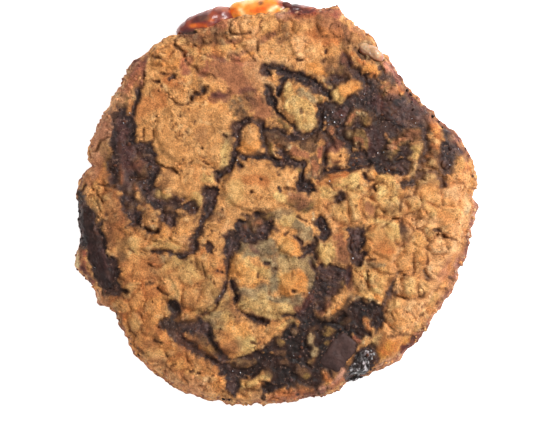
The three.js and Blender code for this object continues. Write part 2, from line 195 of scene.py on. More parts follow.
# Plates and knobs of crust that stand above the rest, as in the solid: middle, half sizes, lift
plates = [
    (-21, 18, 10.5, 9, 1), (-25, 31, 10, 3, 0.5), (-29, 38, 4, 4, 0.6), (-23, 5, 7.5, 4, 0.5),
    (-7, 15.8, 2.6, 3.2, 0.8), (-5, 4, 9.5, 6.5, 1.1), (-2, -19, 10.5, 10.5, 0.7),
    (4, -11.5, 3.5, 3, 0.8), (5, -21, 4, 3.5, 0.9), (-9, -17, 3.5, 3, 0.5), (5, -5.5, 4, 3, 0.5),
    (-22, -21, 9, 7.5, 0.8), (-34, -9, 11, 4, 0.5), (-16, -8, 4, 3.5, 0.5), (-11, -35, 7.5, 5, 0.9),
    (-1, -33, 3.5, 2, 0.5), (-37, -27, 7, 11, 0.4), (-22, -44, 9, 4.5, 0.4), (5, 26, 4.5, 6, 0.7),
    (6.5, 41, 4, 5, 0.6), (-7, 45, 5, 3.5, 0.5), (18, 27.5, 3.2, 1.8, 0.6), (18, 2, 6, 5.5, 0.5),
    (29, 2, 4.5, 6, 0.6), (43, -2.5, 6.5, 7, 0.8), (28, -10, 5, 5, 0.6), (37, -11, 4.5, 5.5, 0.5),
    (34.5, -21.5, 3.5, 3.5, 0.5), (34.5, -29, 6, 5, 0.6), (-46, 4, 4, 6, 0.4),
]

# The top is painted in layers, later strokes over earlier ones. A stroke has a half width and the
# places its middle line runs through, all in millimetres.

# Melted chocolate between the plates
pools = [
    # left
    (0.55, [(-36.1, 29.3), (-36, 27.5), (-36.2, 26), (-36.9, 24.5), (-37.3, 23)]),
    (0.8, [(-38.1, 22), (-38.1, 18), (-37.2, 15.3)]), (0.9, [(-42, 22), (-42.2, 16)]),
    (2.2, [(-39.9, 21.5), (-39.8, 15)]), (1.2, [(-41.5, 15), (-42.3, 10), (-41.8, 6)]),
    (0.9, [(-43.4, 10.5), (-43.4, 8.5)]), (3.2, [(-38.5, 13), (-35.5, 11), (-34, 8)]),
    (2, [(-40, 9), (-39.8, 4)]), (2, [(-34.5, 13), (-33.5, 9), (-33, 5)]),
    (1.2, [(-33, 14), (-32.3, 12), (-32, 7)]), (1.8, [(-37.3, 6.5), (-36.5, 3.5), (-35.3, 0.8)]),
    (1.8, [(-39.3, 3), (-38.6, 1), (-37.8, -2), (-36.7, -4.3)]),
    (1.9, [(-34.5, 5), (-33, 2.5), (-31, 0.5), (-29.5, -1)]),
    (1.4, [(-30, -0.7), (-26, -1), (-22.3, -0.8)]), (1.9, [(-27.8, -2.4), (-28.8, -3.6)]),
    (1.5, [(-29.2, -2.6), (-28.3, -4.3)]), (0.8, [(-28, -5.2), (-27.4, -6)]),
    (0.5, [(-34, -6.8), (-32.4, -7.9), (-30.9, -7.4)]), (1.4, [(-18.2, 1.8), (-16.4, 2.4)]),
    (1.3, [(-17.5, 1), (-17.8, -1.7)]), (0.9, [(-17.5, -2), (-18.4, -3.5)]),
    (0.75, [(-19, -4.2), (-20, -6.5), (-20.8, -8.5)]), (1, [(-21, -9), (-21.5, -11)]),
    (1, [(-21.6, -11.8), (-22.2, -13)]), (0.7, [(-23, -13.3), (-25.3, -14)]),
    (0.3, [(-32.3, -12.9), (-31, -13), (-29.5, -12.9), (-28.2, -13), (-26, -13.9)]),
    # left edge
    (2.8, [(-50.5, -1.5), (-49.5, -5), (-48, -9), (-47, -12.5)]), (2.9, [(-46.2, -15.5), (-44.6, -18.5)]),
    (2.2, [(-43.3, -20.5), (-44, -22)]), (1.3, [(-42.3, -15.5), (-42, -18)]),
    (0.7, [(-40.6, -22.7), (-39.5, -23.2)]), (0.8, [(-51.7, 2.5), (-51.7, 0.8)]),
    # round the upper plates
    (0.7, [(-10.2, 18.5), (-10.1, 15), (-10.4, 12.5)]), (0.6, [(-11, 11.2), (-12.2, 8.8), (-14.6, 7)]),
    (0.6, [(-15.4, 7.3), (-15.4, 5.5)]), (0.9, [(-10.2, 19.5), (-8, 20.8), (-5.5, 20.8), (-3.8, 20)]),
    (0.9, [(-3.7, 20), (-3.5, 17.5), (-3.9, 15)]), (0.7, [(-2.8, 14.8), (-2.7, 13.3)]),
    (0.8, [(-8.3, 11.3), (-6.8, 12.1), (-4, 11.8), (-2, 11.6), (0, 10.5)]),
    (0.5, [(-9.8, 9.8), (-9.3, 9.3)]), (1.2, [(0, 10.3), (3.3, 10.2), (6.8, 9.8)]),
    (1, [(0.8, 13.3), (2, 12)]), (0.8, [(6.5, 8), (6.2, 5.5)]), (1.8, [(7, 4.2), (7.5, 3.5)]),
    (0.25, [(-22, 26.6), (-21.2, 27.8), (-19.6, 27.8)]), (0.3, [(-19.3, 28.4), (-18.8, 29.3)]),
    (1.1, [(-2.9, 34.4), (-2.3, 33.4)]), (0.6, [(-2, 35), (0, 35), (1.5, 34.8)]),
    (1.15, [(1, 34), (3.4, 33.1), (5.8, 32.1), (8.2, 31)]), (1, [(8.7, 31), (10.8, 29.8), (12.2, 28.4)]),
    (0.8, [(13, 31.6), (14, 30.2)]), (0.8, [(19.8, 31.4), (20.8, 30.6)]),
    (0.8, [(9.6, 29.4), (10.8, 28.4)]), (0.8, [(27, 8), (32, 7.6)]), (0.9, [(12.5, 28.8), (13.8, 27)]),
    (0.7, [(2.4, 32.3), (1.4, 31.2), (0.7, 29.6), (0.2, 28)]),
    (0.9, [(-2.3, 29.2), (-2, 27.5), (-1.1, 25.5)]),
    (0.65, [(-1.4, 25.4), (0.5, 22.7), (2.5, 20.8), (4.1, 19.3)]), (0.7, [(4.6, 19.5), (5, 17.5)]),
    (0.9, [(-2.3, 18.6), (0, 18), (2, 17.2), (4.5, 16.4), (7, 16.5), (9, 17.5), (11, 19.5)]),
    (0.6, [(-2.3, 17.2), (-0.6, 16)]), (1.3, [(11.5, 24), (12.1, 21.5), (11, 19.5)]),
    # upper right
    (0.7, [(12.5, 33), (14.5, 32.3)]), (1.1, [(15.2, 31.8), (18, 31.4)]),
    (0.6, [(17.6, 38.6), (18.2, 37), (18.8, 35)]), (1.9, [(20.5, 33.3), (22, 31.5)]),
    (3, [(23.5, 31), (26, 28)]), (2, [(21, 27), (23, 27.5)]), (1.8, [(15, 25), (18, 25.5), (20.5, 26)]),
    (1.5, [(27.5, 33.2), (29.8, 32)]), (4.2, [(29, 24.5), (34.5, 22.5)]), (1.8, [(37.3, 22)]),
    (1.6, [(33.5, 26.3), (35.5, 25)]), (1.1, [(21.5, 39.2), (22, 38.6)]), (2.4, [(14, 24), (16.5, 22.5)]),
    (1.7, [(19.4, 22.6), (24.6, 23)]), (2, [(15, 19.5), (16.8, 17.5)]), (1.2, [(13, 17.5), (13.2, 15)]),
    (1.2, [(19, 19), (21, 19.8), (23.2, 19.3)]), (1.4, [(18.3, 16), (18.7, 13)]),
    (2.8, [(25.5, 20), (25.7, 14)]), (1.4, [(19.6, 15), (24, 16.4)]), (2.2, [(28, 20), (33, 17.5)]),
    (1.3, [(20, 12.2), (23.2, 12.2)]), (1.4, [(20.5, 10.2), (23.5, 10.3)]),
    (1.7, [(27.8, 14.5), (26.5, 12)]), (1.1, [(38, 21), (38.2, 16), (38.2, 12.5)]),
    (1.3, [(20.6, 25.8), (24.4, 25)]), (1, [(26.6, 22.6), (29, 21.4)]), (1.2, [(20.6, 20), (23, 19.4)]),
    (1.3, [(30.4, 12), (33.6, 14.6)]), (0.9, [(24.6, 17.6), (27.6, 16)]),
    (1.8, [(32, 13.8), (33.5, 12.8)]), (0.9, [(36.9, 11.5), (36.8, 9.5)]),
    (1.2, [(36.6, 7), (35.3, 5), (33.6, 4)]), (1.5, [(37.6, 7.6), (41.4, 7.2)]),
    (1.1, [(38.6, 11), (38.8, 14.5)]), (0.8, [(38.3, 7.8), (41.5, 7.8), (42.5, 6), (43.1, 4.4)]),
    (2.2, [(43.5, 9.3), (45, 9.5)]), (0.8, [(44.3, 18.3), (45.2, 16)]), (1.5, [(46, 13.5), (47, 13)]),
    (0.5, [(12, 6.7), (13.5, 7.7), (15, 8.2), (17.5, 8.3), (20.5, 8.7), (22.5, 8.8)]),
    (0.9, [(11.2, 5.6), (12.3, 7.4)]), (0.6, [(12.3, 14), (12.3, 10)]),
    (0.85, [(15.3, 0.9), (16.3, 1.7), (17, 1.5)]), (0.35, [(22.6, 7), (23, 6), (23.8, 5.3)]),
    (0.5, [(24.9, 4), (25.3, 3.2)]),
    # middle
    (2.4, [(-8.6, -6.8), (-6, -6.6), (-3, -6.6)]), (1.6, [(-11, -9.4), (-7, -9.2), (-4.4, -8.8)]),
    (1.1, [(-4.8, -3.4), (-1.8, -4.4)]), (1.5, [(-11.2, -9.8), (-12, -12.5)]),
    (0.9, [(-12.8, -13.5), (-12.7, -14.8)]),
    (0.4, [(-12.6, -15.5), (-12.7, -18), (-13.1, -21), (-13.6, -23)]),
    (0.25, [(-13.6, -23), (-15.6, -26), (-17, -28), (-19.3, -29.6)]),
    (0.55, [(-11.7, -20.6), (-11, -22.4), (-10.5, -24.4), (-10.8, -26)]),
    (1.1, [(7.9, -12.4), (9.2, -12.3)]), (0.6, [(8.8, -15), (9.2, -16.6)]),
    (0.5, [(9.8, -9.5), (9.9, -14.5)]), (3, [(11.6, -19), (15, -19.4)]),
    (2, [(13.6, -23.4), (15.2, -22.6)]), (1.7, [(11.8, -26.4), (13.2, -25.2)]),
    (1.5, [(18.8, -27.2), (16.6, -29.6)]), (2.2, [(10.8, -21), (9.8, -24.5)]),
    (1.3, [(14, -17.5), (17.5, -18.2)]), (1.7, [(9, -25), (8.2, -28)]), (1, [(15.2, -16.9)]),
    (0.9, [(18.3, -18), (18.6, -20.5)]), (1.9, [(20.2, -7.3), (20.4, -12)]), (2, [(20.6, -14.4)]),
    (0.8, [(22.6, -13.5)]), (0.8, [(30.6, -21.2), (29.4, -23), (28.3, -25.6)]),
    (0.9, [(31.2, -19.4), (32.2, -19.4)]), (0.4, [(38, -17.8), (38.4, -18.9), (39.3, -19.6)]),
    # lower
    (2.2, [(21.5, -27), (25, -28)]), (1.6, [(28.2, -25.6), (29, -24)]),
    (1.9, [(26.6, -28.4), (25.6, -31.4)]), (2.7, [(19.5, -30), (21.5, -33)]), (1.4, [(20.3, -26.3)]),
    (0.5, [(19.9, -24.7)]), (2.8, [(8, -33), (12, -33.5), (17, -33)]),
    (1.4, [(11.3, -27.5), (10.3, -30.5)]), (1.3, [(6.3, -29.5), (8.5, -30)]),
    (2.8, [(3.5, -34.6), (1.5, -38)]), (3, [(17, -37.5), (14.5, -41)]), (3, [(10.5, -42.5), (11.5, -36)]),
    (3, [(6, -36), (7, -41)]), (2.1, [(-5.5, -41), (-1.5, -40.8)]), (3, [(1, -41.8), (5, -40)]),
    (2.6, [(1, -45.3), (4, -45.3)]), (2.6, [(8.5, -44.8), (11.5, -45)]), (1.2, [(-3, -48), (1, -47.7)]),
    (1.8, [(4, -47.2), (9.5, -47.3)]), (1.4, [(-2.6, -37.8), (-0.6, -36.6)]),
    (0.35, [(-11.4, -26.4), (-10, -27.9), (-7.5, -29.5), (-5, -30.7)]),
    (0.7, [(-4.4, -30.9), (-3.2, -31.2)]), (0.5, [(-3.2, -31.2), (-1.6, -31.2), (0, -30.7)]),
    (0.4, [(1.5, -29.6), (4.5, -29.6), (7, -30)]), (1, [(-24.5, -31.6), (-20, -31.4)]),
    (1, [(-18, -32), (-17.5, -35.2), (-15.6, -38.2), (-13.8, -40.6)]),
    (1.1, [(-23.8, -36.8), (-21, -38.6), (-17.5, -40.8), (-14.3, -43)]),
    (0.4, [(-13, -40.9), (-10, -40.8), (-6.5, -40.4)]),
    (1.4, [(-14.5, -43.3), (-12.5, -43.6), (-7, -44)]), (1.9, [(-11.7, -45.5), (-11.6, -48)]),
    (1.2, [(-6, -44), (-4.5, -43)]), (0.9, [(-9.8, -45.3), (-8.5, -45.3)]),
    (1.2, [(-27.4, -26), (-26.2, -27.4)]), (1.1, [(-25.8, -28), (-26.6, -29.8)]),
    (1.5, [(-30, -31.5), (-26.5, -31.2)]), (1.5, [(-24.5, -32.6), (-20, -32.2)]),
    (1.3, [(-27, -33.4), (-25, -35.6)]), (0.7, [(-23.5, -33.8)]), (1.1, [(-21.8, -33.8), (-19, -34.4)]),
]

# Crumbs, knobs and ridges of dough over and beside the chocolate: paint, lift, half width, line
lumps = [
    # upper left
    ("tan", 0.5, 1.3, [(-36.9, 32.8), (-36.6, 31)]), ("olive", 0.4, 1.6, [(-41, 27.6), (-39.8, 26.2)]),
    ("tan", 0.3, 1, [(-38.3, 35.6)]), ("gold", 0.5, 1.7, [(-33, 33.3), (-31, 34.8)]),
    ("gold", 0.7, 3.1, [(-29.5, 40), (-28, 37.5)]), ("orange", 0.9, 1.8, [(-28.5, 35.8), (-26.6, 36)]),
    ("yellow", 0.4, 0.9, [(-24.8, 41.3), (-23.3, 41.3)]), ("tan", 0.4, 1.5, [(-19.6, 43.7)]),
    ("olive", 0.4, 0.8, [(-16.4, 43)]), ("grey", 0.4, 0.9, [(-16.2, 44.9)]),
    ("grey", 0.4, 0.8, [(-14.6, 43.6)]), ("tan", 0.4, 0.8, [(-14.2, 45.4)]),
    ("grey", 0.4, 0.7, [(-13, 44)]),
    ("orange", 0.8, 1.1, [(-22.5, 40.2), (-18, 39.7), (-14, 39.6), (-11, 40.2), (-8.5, 41)]),
    ("gold", 0.6, 1.7, [(-20.4, 37), (-19.9, 36.5)]),
    ("tan", 0.5, 0.8, [(-11.5, 37.8), (-8, 39), (-6.2, 40)]),
    ("tan", 0.3, 1.4, [(-16.4, 35.3), (-14.8, 34.8)]), ("orange", 0.4, 1.3, [(-8.2, 37.4), (-6.6, 37.6)]),
    ("gold", 0.7, 2, [(-10.3, 46), (-7.8, 46.5)]), ("peach", 0.6, 1.4, [(-8, 41.8), (-6.5, 41.5)]),
    ("gold", 0.5, 1.8, [(-4.5, 46.8), (-2.5, 45)]), ("gold", 0.6, 1.9, [(-17, 30.6), (-15.2, 30)]),
    ("grey", 0.3, 0.6, [(-11.9, 24.8)]), ("olive", 0.2, 0.6, [(-10.2, 23.5)]),
    ("grey", 0.3, 0.6, [(-9.3, 24.6)]), ("olive", 0.2, 0.5, [(-8.7, 23.1)]),
    ("grey", 0.3, 0.5, [(-10.8, 25.6), (-11.6, 26.4)]), ("grey", 0.3, 0.6, [(-9.6, 26.6), (-9.2, 26)]),
    ("olive", 0.2, 0.6, [(-11, 22.2)]), ("tan", 0.2, 0.7, [(-6.6, 23.6)]),
    ("tan", 0.2, 0.8, [(-6, 21.9), (-4.6, 22.6)]),
    # top
    ("gold", 0.5, 2.3, [(-3, 39.5), (0, 39), (3, 39.5)]), ("peach", 0.8, 2.6, [(6, 40.5), (9.5, 40)]),
    ("gold", 0.7, 2.4, [(10, 39), (11, 37.6)]), ("gold", 0.5, 1.3, [(14.5, 39.7), (14.3, 37.7)]),
    ("orange", 0.7, 1.3, [(8.5, 34.8), (12, 34.2)]), ("gold", 0.5, 2, [(5.5, 46), (8, 45.8)]),
    ("tan", 0.5, 2.2, [(12.6, 47), (14.8, 45.5)]), ("rust", 0.5, 0.9, [(11.3, 49.5), (16, 49.5)]),
    ("tan", 0.4, 1.3, [(17.5, 45), (17.3, 42.8)]), ("gold", 0.4, 1.4, [(20, 43.2), (21.3, 42)]),
    ("grey", 0.3, 0.6, [(12, 31.6)]), ("yellow", 0.3, 0.6, [(13.5, 29.9)]),
    ("pink", 0.4, 1.2, [(0.5, 48), (3, 48.6)]),
    # upper right
    ("yellow", 0.9, 2.7, [(4.9, 25.2), (6.3, 23), (7.5, 20.6)]),
    ("yellow", 0.8, 1.5, [(3.4, 28.6), (4.4, 26.6)]), ("grey", 0.6, 1.2, [(6.2, 28.2), (8.8, 26.6)]),
    ("olive", 0.4, 0.9, [(10.8, 27), (11.6, 25.9)]), ("yellow", 0.9, 1.6, [(15.3, 27.1), (16.6, 29)]),
    ("orange", 0.9, 1.6, [(17.3, 29.2), (19.9, 29.8)]),
    ("orange", 0.8, 1.4, [(23.6, 35.2), (25.6, 34.2)]),
    ("toast", 0.5, 0.6, [(19.3, 38.6), (20.8, 37.2), (22.3, 36)]),
    ("toast", 0.6, 0.7, [(24.3, 33.2), (25.4, 32.8)]), ("tan", 0.5, 2, [(28.8, 27.8), (30.8, 29.4)]),
    ("olive", 0.4, 0.7, [(27.9, 28.4), (28.2, 27)]), ("tan", 0.3, 0.8, [(27.2, 30), (28.6, 31)]),
    ("toast", 0.5, 0.8, [(31.9, 29.9), (32.9, 28.6)]),
    ("rim", 0.5, 1.5, [(29.6, 35.2), (31.4, 33.6), (31.6, 31.8)]),
    ("grey", -3, 1.8, [(22.6, 40.6), (26.4, 38)]),
    ("olive", 0.5, 1.5, [(18.6, 21), (19.8, 22.4), (21.4, 23.2), (23, 22.4), (24, 21)]),
    ("tan", 0.4, 0.8, [(18.4, 21), (19.6, 22.4), (21.2, 23.4)]),
    ("grey", 0.4, 0.7, [(20.8, 23), (23, 22.6)]), ("olive", 0.5, 1.7, [(20.6, 17), (21.4, 15.8)]),
    ("tan", 0.4, 1.1, [(20.2, 17.2), (21.6, 15.4)]), ("olive", 0.4, 1, [(18.6, 17.8), (22.6, 17.4)]),
    ("grey", 0.4, 0.6, [(20.8, 15)]), ("olive", 0.4, 0.8, [(23, 16.2), (23, 14.7)]),
    ("grey", 0.3, 0.8, [(18.6, 17.2)]), ("tan", 0.2, 0.9, [(14, 18.8), (14.1, 18)]),
    ("tan", 0.5, 1.1, [(39.3, 21.8), (40.3, 20)]), ("toast", 0.6, 1.2, [(40.6, 19.6), (41.4, 17.6)]),
    ("orange", 0.5, 0.5, [(40.9, 18.9), (41.5, 17.8)]), ("pink", 0.2, 0.9, [(46.3, 17), (47.2, 15.9)]),
    ("toast", 0.3, 0.8, [(39.9, 14.7), (41.5, 14)]), ("tan", 0.4, 0.9, [(41, 10.8), (41.3, 9)]),
    ("rust", 0.3, 0.9, [(38.2, 9.2), (39.6, 10)]), ("toast", 0.3, 0.7, [(38.9, 12), (40, 12)]),
    ("grey", 0.6, 1.3, [(35.4, 12.2), (36.4, 13.8)]),
    ("olive", 0.4, 1.5, [(29, 12.6), (30.4, 15), (33, 16.6), (35.6, 17.6)]),
    ("tan", 0.4, 1, [(34, 17.8), (36, 17.6)]), ("tan", 0.4, 0.9, [(29.4, 14), (31.4, 15.8), (33.4, 17)]),
    ("grey", 0.2, 0.7, [(35.5, 9.6), (35, 7.4)]), ("pale", 0.4, 0.9, [(39.2, 6.5), (40.8, 6.6)]),
    ("maroon", 0.2, 0.8, [(34.6, 27.5), (36.2, 26), (37.6, 24.3)]),
    # centre
    ("orange", 0.9, 2.1, [(-7.6, 14.4), (-6.6, 15.2)]), ("gold", 0.6, 1.4, [(-7, 17), (-6.6, 18.4)]),
    ("gold", 0.5, 1.6, [(0.8, 6.4), (3, 6)]), ("yellow", 0.3, 1.6, [(-31, -10.8), (-26, -10.8)]),
    ("yellow", 0.5, 1.2, [(0.2, 1.3), (1.9, 0.6)]), ("olive", 0.2, 0.8, [(-1.9, 15.5), (-1.5, 13.2)]),
    ("pale", 0.3, 0.55, [(2.7, 14.4), (3.2, 14.1)]), ("tan", 0.4, 1.1, [(4, 13.4), (7.6, 12)]),
    ("soaked", 0.3, 1.2, [(6.6, 14.6), (9.4, 13.8)]), ("toast", 0.2, 0.5, [(-40.4, 9.4), (-40.5, 4.8)]),
    ("soaked", 0.2, 1.4, [(-36.9, 9.7), (-34.8, 8.1)]), ("soaked", 0.1, 0.7, [(-38.9, 4), (-38.7, 2.4)]),
    ("soaked", 0.1, 0.6, [(-37.9, -1.1)]), ("soaked", 0.2, 0.9, [(-28.2, -2.2), (-27.2, -2.4)]),
    ("soaked", 0.3, 1.6, [(9.6, 10.6), (9.6, 7.4)]), ("tan", 0.4, 1, [(9.4, 10.4), (9.8, 7.4)]),
    ("rust", 0.3, 0.7, [(11.1, 13.6), (11, 11.5)]), ("rust", 0.2, 0.5, [(12.7, 15)]),
    ("olive", 0.3, 1, [(0.6, 20.8), (3.2, 18.9)]), ("soaked", 0.3, 1.3, [(-1.6, 17), (1.5, 15.4)]),
    ("soaked", 0.2, 0.9, [(10.6, 16.8), (8.6, 15.6)]), ("tan", 0.2, 0.5, [(0.4, 14.4)]),
    ("olive", 0.2, 0.6, [(5.7, 8.1)]), ("tan", 0.5, 1.7, [(14.6, 12.4), (16, 12)]),
    ("grey", 0.4, 0.9, [(14, 12.6), (14.4, 11)]), ("soaked", 0.2, 0.9, [(17.2, 13.4), (17.4, 11.6)]),
    ("tan", 0.3, 0.8, [(14.6, 10.8), (16, 10.5)]), ("yellow", 0.5, 1.6, [(12.6, 4), (12.8, 1.6)]),
    ("yellow", 0.6, 1.4, [(15.6, 5.6), (18.4, 5.2)]), ("yellow", 0.6, 1.5, [(20.3, 6.3), (18.8, 3.8)]),
    ("gold", 0.5, 0.8, [(11.4, 5), (13, 5.8)]), ("yellow", 0.7, 1.5, [(21.3, 2.8), (22.8, 1.4)]),
    ("toast", 0.3, 0.7, [(24.5, 1), (25, 0.4)]), ("yellow", 0.7, 2.9, [(28, 4), (29.5, 1.2)]),
    ("orange", 0.5, 0.8, [(25.6, 7.1)]), ("gold", 0.5, 2, [(27.5, -2.4), (30, -2.6)]),
    ("orange", 0.9, 2.2, [(38, 3), (40.3, 3.6)]), ("gold", 0.7, 1.5, [(34, 0.8), (34, -1.8)]),
    ("yellow", 0.5, 2.2, [(38, -1.6), (38.6, -4)]), ("soaked", 0.3, 1, [(34.4, 3.4), (33.8, 2)]),
    ("tan", 0.3, 1.2, [(24.1, -1.4), (24.1, -3.4)]), ("gold", 0.6, 2.6, [(19.5, -2.2), (20.6, -4)]),
    ("gold", 0.5, 2, [(12.6, -1), (14.4, -2.6)]), ("yellow", 0.4, 1.4, [(47, 9), (48.5, 11)]),
    ("orange", 0.8, 2.7, [(43.5, -1.5), (45.2, -3.5)]), ("pale", 0.6, 1, [(49.3, 1.3), (49.6, -2.3)]),
    # left
    ("gold", 0.6, 0.75, [(-36.3, 2.3), (-35.5, 1.1)]), ("yellow", 0.4, 1.1, [(35.4, 11.8), (36.4, 14.2)]),
    ("gold", 0.3, 1.5, [(14.6, 12), (17, 12.2)]), ("tan", 0.2, 0.45, [(-36.8, 4.6), (-36.5, 3.4)]),
    ("tan", 0.6, 0.6, [(-34.3, -0.6), (-33.6, -2)]), ("gold", 0.8, 1.5, [(-33, -2.8), (-32.2, -4.6)]),
    ("pale", 0.5, 0.6, [(-32.8, -6.6), (-31.6, -6.7)]),
    ("yellow", 0.3, 0.8, [(-30.7, 2.2), (-28.6, 1.2)]),
    ("olive", 0.3, 1.4, [(-44.7, 14.8), (-44.1, 12.7)]), ("gold", 0.3, 1.3, [(-36, 18), (-35.6, 16.4)]),
    ("gold", 0.3, 1, [(-33.2, 17.6), (-33.3, 16.4)]), ("yellow", 0.4, 1.1, [(-18.6, 6.3), (-17, 6)]),
    ("yellow", 0.5, 1.2, [(-20.9, 2.2), (-20.7, 0.6)]), ("tan", 0.3, 1.1, [(-51, -13.4), (-50.8, -15.8)]),
    # pale on the shiny bead at the outline: a painted highlight
    ("pale", 0.5, 0.7, [(-51.8, -14), (-51.6, -16.4)]), ("rust", 0.3, 0.5, [(-50.2, -13), (-50, -16)]),
    ("rust", 0.2, 0.8, [(-50.4, -17.4)]), ("rust", 0.2, 0.7, [(-47.8, -21)]),
    ("pink", 0.3, 1.3, [(-46.6, -24.4), (-44.6, -26.2)]),
    ("grey", 0.3, 1, [(-31.8, -14.8), (-30, -14.8)]), ("gold", 0.6, 1.9, [(-16.8, -14.6), (-16, -15.8)]),
    ("gold", 0.4, 1.1, [(-20, -13.6), (-19.2, -13.8)]), ("tan", 0.5, 1.2, [(-49.8, 6), (-48.6, 5)]),
    ("gold", 0.6, 2.2, [(-43.3, -0.4), (-42.6, -3)]), ("gold", 0.6, 2, [(-47.6, 0.6), (-46.2, -2.6)]),
    # middle
    ("tan", 0.3, 0.8, [(-5.2, -5.3), (-4.5, -5.4)]), ("olive", 0.2, 0.8, [(-2.6, -3.9), (-1.4, -3.4)]),
    ("rust", 0.1, 0.5, [(-8.4, -6.8)]), ("soaked", 0.2, 0.7, [(-6.8, -4.6), (-6, -7)]),
    ("yellow", 0.6, 1.7, [(2.4, -4.8), (4.2, -4.6)]), ("grey", 0.6, 1.9, [(5.8, -6.4), (7.7, -8.4)]),
    # pale at (9.3, -3.8): a painted highlight
    ("pale", 0.3, 0.35, [(9.3, -3.3), (9.4, -4.3)]), ("gold", 0.5, 0.9, [(-1.2, -8.6), (0.4, -9.1)]),
    ("orange", 0.9, 2.1, [(2.2, -10.8), (4.2, -12.4)]),
    ("orange", 0.5, 1.7, [(-10.2, -15.6), (-9.6, -18)]), ("orange", 0.5, 1.6, [(-8.3, -19), (-6.2, -20)]),
    ("yellow", 0.5, 1.3, [(-3.6, -18.1), (-2.4, -18.2)]), ("orange", 1, 2.3, [(3, -20.6), (5.9, -20.8)]),
    ("orange", 0.6, 0.9, [(6, -22.8), (6.8, -22.6)]), ("orange", 0.8, 1.3, [(2.6, -22.4), (3, -22.8)]),
    ("yellow", 0.2, 1.5, [(2, -15.8), (5.5, -15.6)]), ("yellow", 0.4, 1.1, [(-4.8, -24), (-3.8, -25)]),
    ("orange", 0.3, 0.9, [(-2, -26.2), (0, -26.8)]), ("yellow", 0.6, 2.2, [(12.4, -12.4), (13.2, -13.8)]),
    ("tan", 0.4, 1.6, [(16.8, -11), (17, -14.6)]), ("olive", 0.2, 0.5, [(17, -21.3)]),
    ("gold", 0.7, 1.5, [(21.2, -18.2), (21.8, -21)]), ("gold", 0.9, 2.1, [(25.8, -18.8), (28.4, -20)]),
    ("yellow", 0.8, 1.8, [(22.3, -23.6), (26, -24.3)]),
    ("orange", 0.4, 0.8, [(25.8, -24.5), (26.6, -25.4)]),
    ("grey", 0.4, 0.9, [(24, -16.3), (27.5, -16.3)]), ("orange", 0.8, 1.3, [(36.6, -14), (36.9, -15.6)]),
    ("orange", 0.9, 2.5, [(33.6, -21), (35.2, -22.6)]),
    # pale down the lump's right face: a painted highlight
    ("pale", 0.5, 0.6, [(37.6, -18.8), (37.7, -21.4)]), ("yellow", 0.7, 2.6, [(36, -10.5), (38, -12)]),
    ("yellow", 0.8, 2, [(41.6, -11.8), (44, -11.2)]), ("gold", 0.7, 3.2, [(26.6, -9), (27.6, -12.4)]),
    ("yellow", 0.5, 1.4, [(29.6, -7), (30.4, -9)]), ("gold", 0.8, 3.4, [(31, -28.4), (35, -28.8)]),
    ("yellow", 0.6, 2, [(38.5, -26.4), (40.6, -24.8)]),
    # lower
    ("orange", 0.8, 2.2, [(-31.5, -26.7), (-33.2, -30.8)]),
    ("gold", 0.5, 0.9, [(-23.8, -29.2), (-22.6, -30)]),
    ("olive", 0.3, 1.1, [(-20.4, -36.2), (-18.2, -37.6), (-16.6, -39)]),
    ("gold", 0.8, 2, [(-3.2, -33.8), (-1.4, -33.2), (0.4, -32.6)]),
    ("yellow", 0.5, 0.9, [(1, -32.2), (2.4, -31.6)]), ("olive", 0.2, 0.7, [(2.4, -31), (3.8, -30.9)]),
    ("olive", 0.2, 0.8, [(-11.3, -41.9), (-7, -41.8)]), ("olive", 0.2, 0.6, [(-6, -41.5)]),
    ("yellow", 0.8, 1, [(-8.6, -47.4), (-6.2, -46.8), (-4.2, -45.8), (-1.9, -45)]),
    ("gold", 0.6, 0.6, [(-5.5, -48), (-4, -47.2)]), ("gold", 1, 1.9, [(12.2, -29.4), (14, -28.2)]),
    ("gold", 1, 2.6, [(14.8, -27.2), (16.4, -25.6), (17.8, -24.2)]),
    ("orange", 0.6, 0.6, [(14.5, -28.6), (17.5, -26)]), ("yellow", 0.5, 0.5, [(5.2, -31.6)]),
    ("olive", 0.2, 1.4, [(13.2, -34), (14.6, -33.4)]), ("olive", 0.1, 0.8, [(12.8, -36.5)]),
    ("grey", 0.3, 1.2, [(8.6, -36.4), (9.4, -35.6)]), ("grey", 0.4, 1.2, [(9.4, -39.3), (10.2, -38.4)]),
    ("olive", 0.1, 0.9, [(8.6, -41.4), (9.4, -41)]), ("soaked", 0.2, 0.8, [(18, -28.4), (18.5, -28.9)]),
    ("soaked", 0.1, 1, [(17.6, -31.2), (18.4, -30.7)]), ("soaked", 0.1, 0.9, [(9, -33.2), (9.8, -32.8)]),
    ("olive", 0.1, 1.1, [(0.4, -36.4), (0.8, -36.2)]), ("soaked", 0.1, 1, [(4.8, -33.8)]),
    ("toast", 0.4, 0.8, [(23.4, -30.6), (23.8, -33)]), ("rust", 0.3, 0.7, [(20, -35.3), (20.9, -36.2)]),
    ("pale", 0.5, 0.45, [(23.2, -34.8), (22.3, -36.7)]),
    ("yellow", 0.6, 1.1, [(24.8, -36.6), (26.2, -35)]),
    ("orange", 0.3, 0.6, [(19, -39.8), (18.2, -41.6)]),
    ("pink", 0.3, 0.9, [(17.2, -43.8), (16, -45.4), (14.4, -47.2)]),
    ("toast", 0.3, 1.1, [(12.4, -45.2), (13, -46.6)]), ("soaked", 0.1, 1.3, [(5.4, -43.6), (7.4, -44.6)]),
    ("olive", 0.1, 0.8, [(7.4, -45.6), (8.4, -45.2)]), ("soaked", 0.1, 1.1, [(0.8, -41.6), (2.2, -41.2)]),
    ("soaked", 0.1, 0.9, [(-0.4, -39), (1.6, -39.2)]), ("toast", 0.4, 1.3, [(1.4, -49.6), (3, -50.3)]),
    ("toast", 0.4, 1.1, [(6.5, -49.5), (8.4, -49.6)]), ("toast", 0.3, 0.7, [(5.6, -47.9), (7.2, -48.3)]),
    ("pink", 0.3, 0.9, [(11.7, -49), (13.2, -48.4)]), ("orange", 0.5, 1.2, [(-29, -38.5)]),
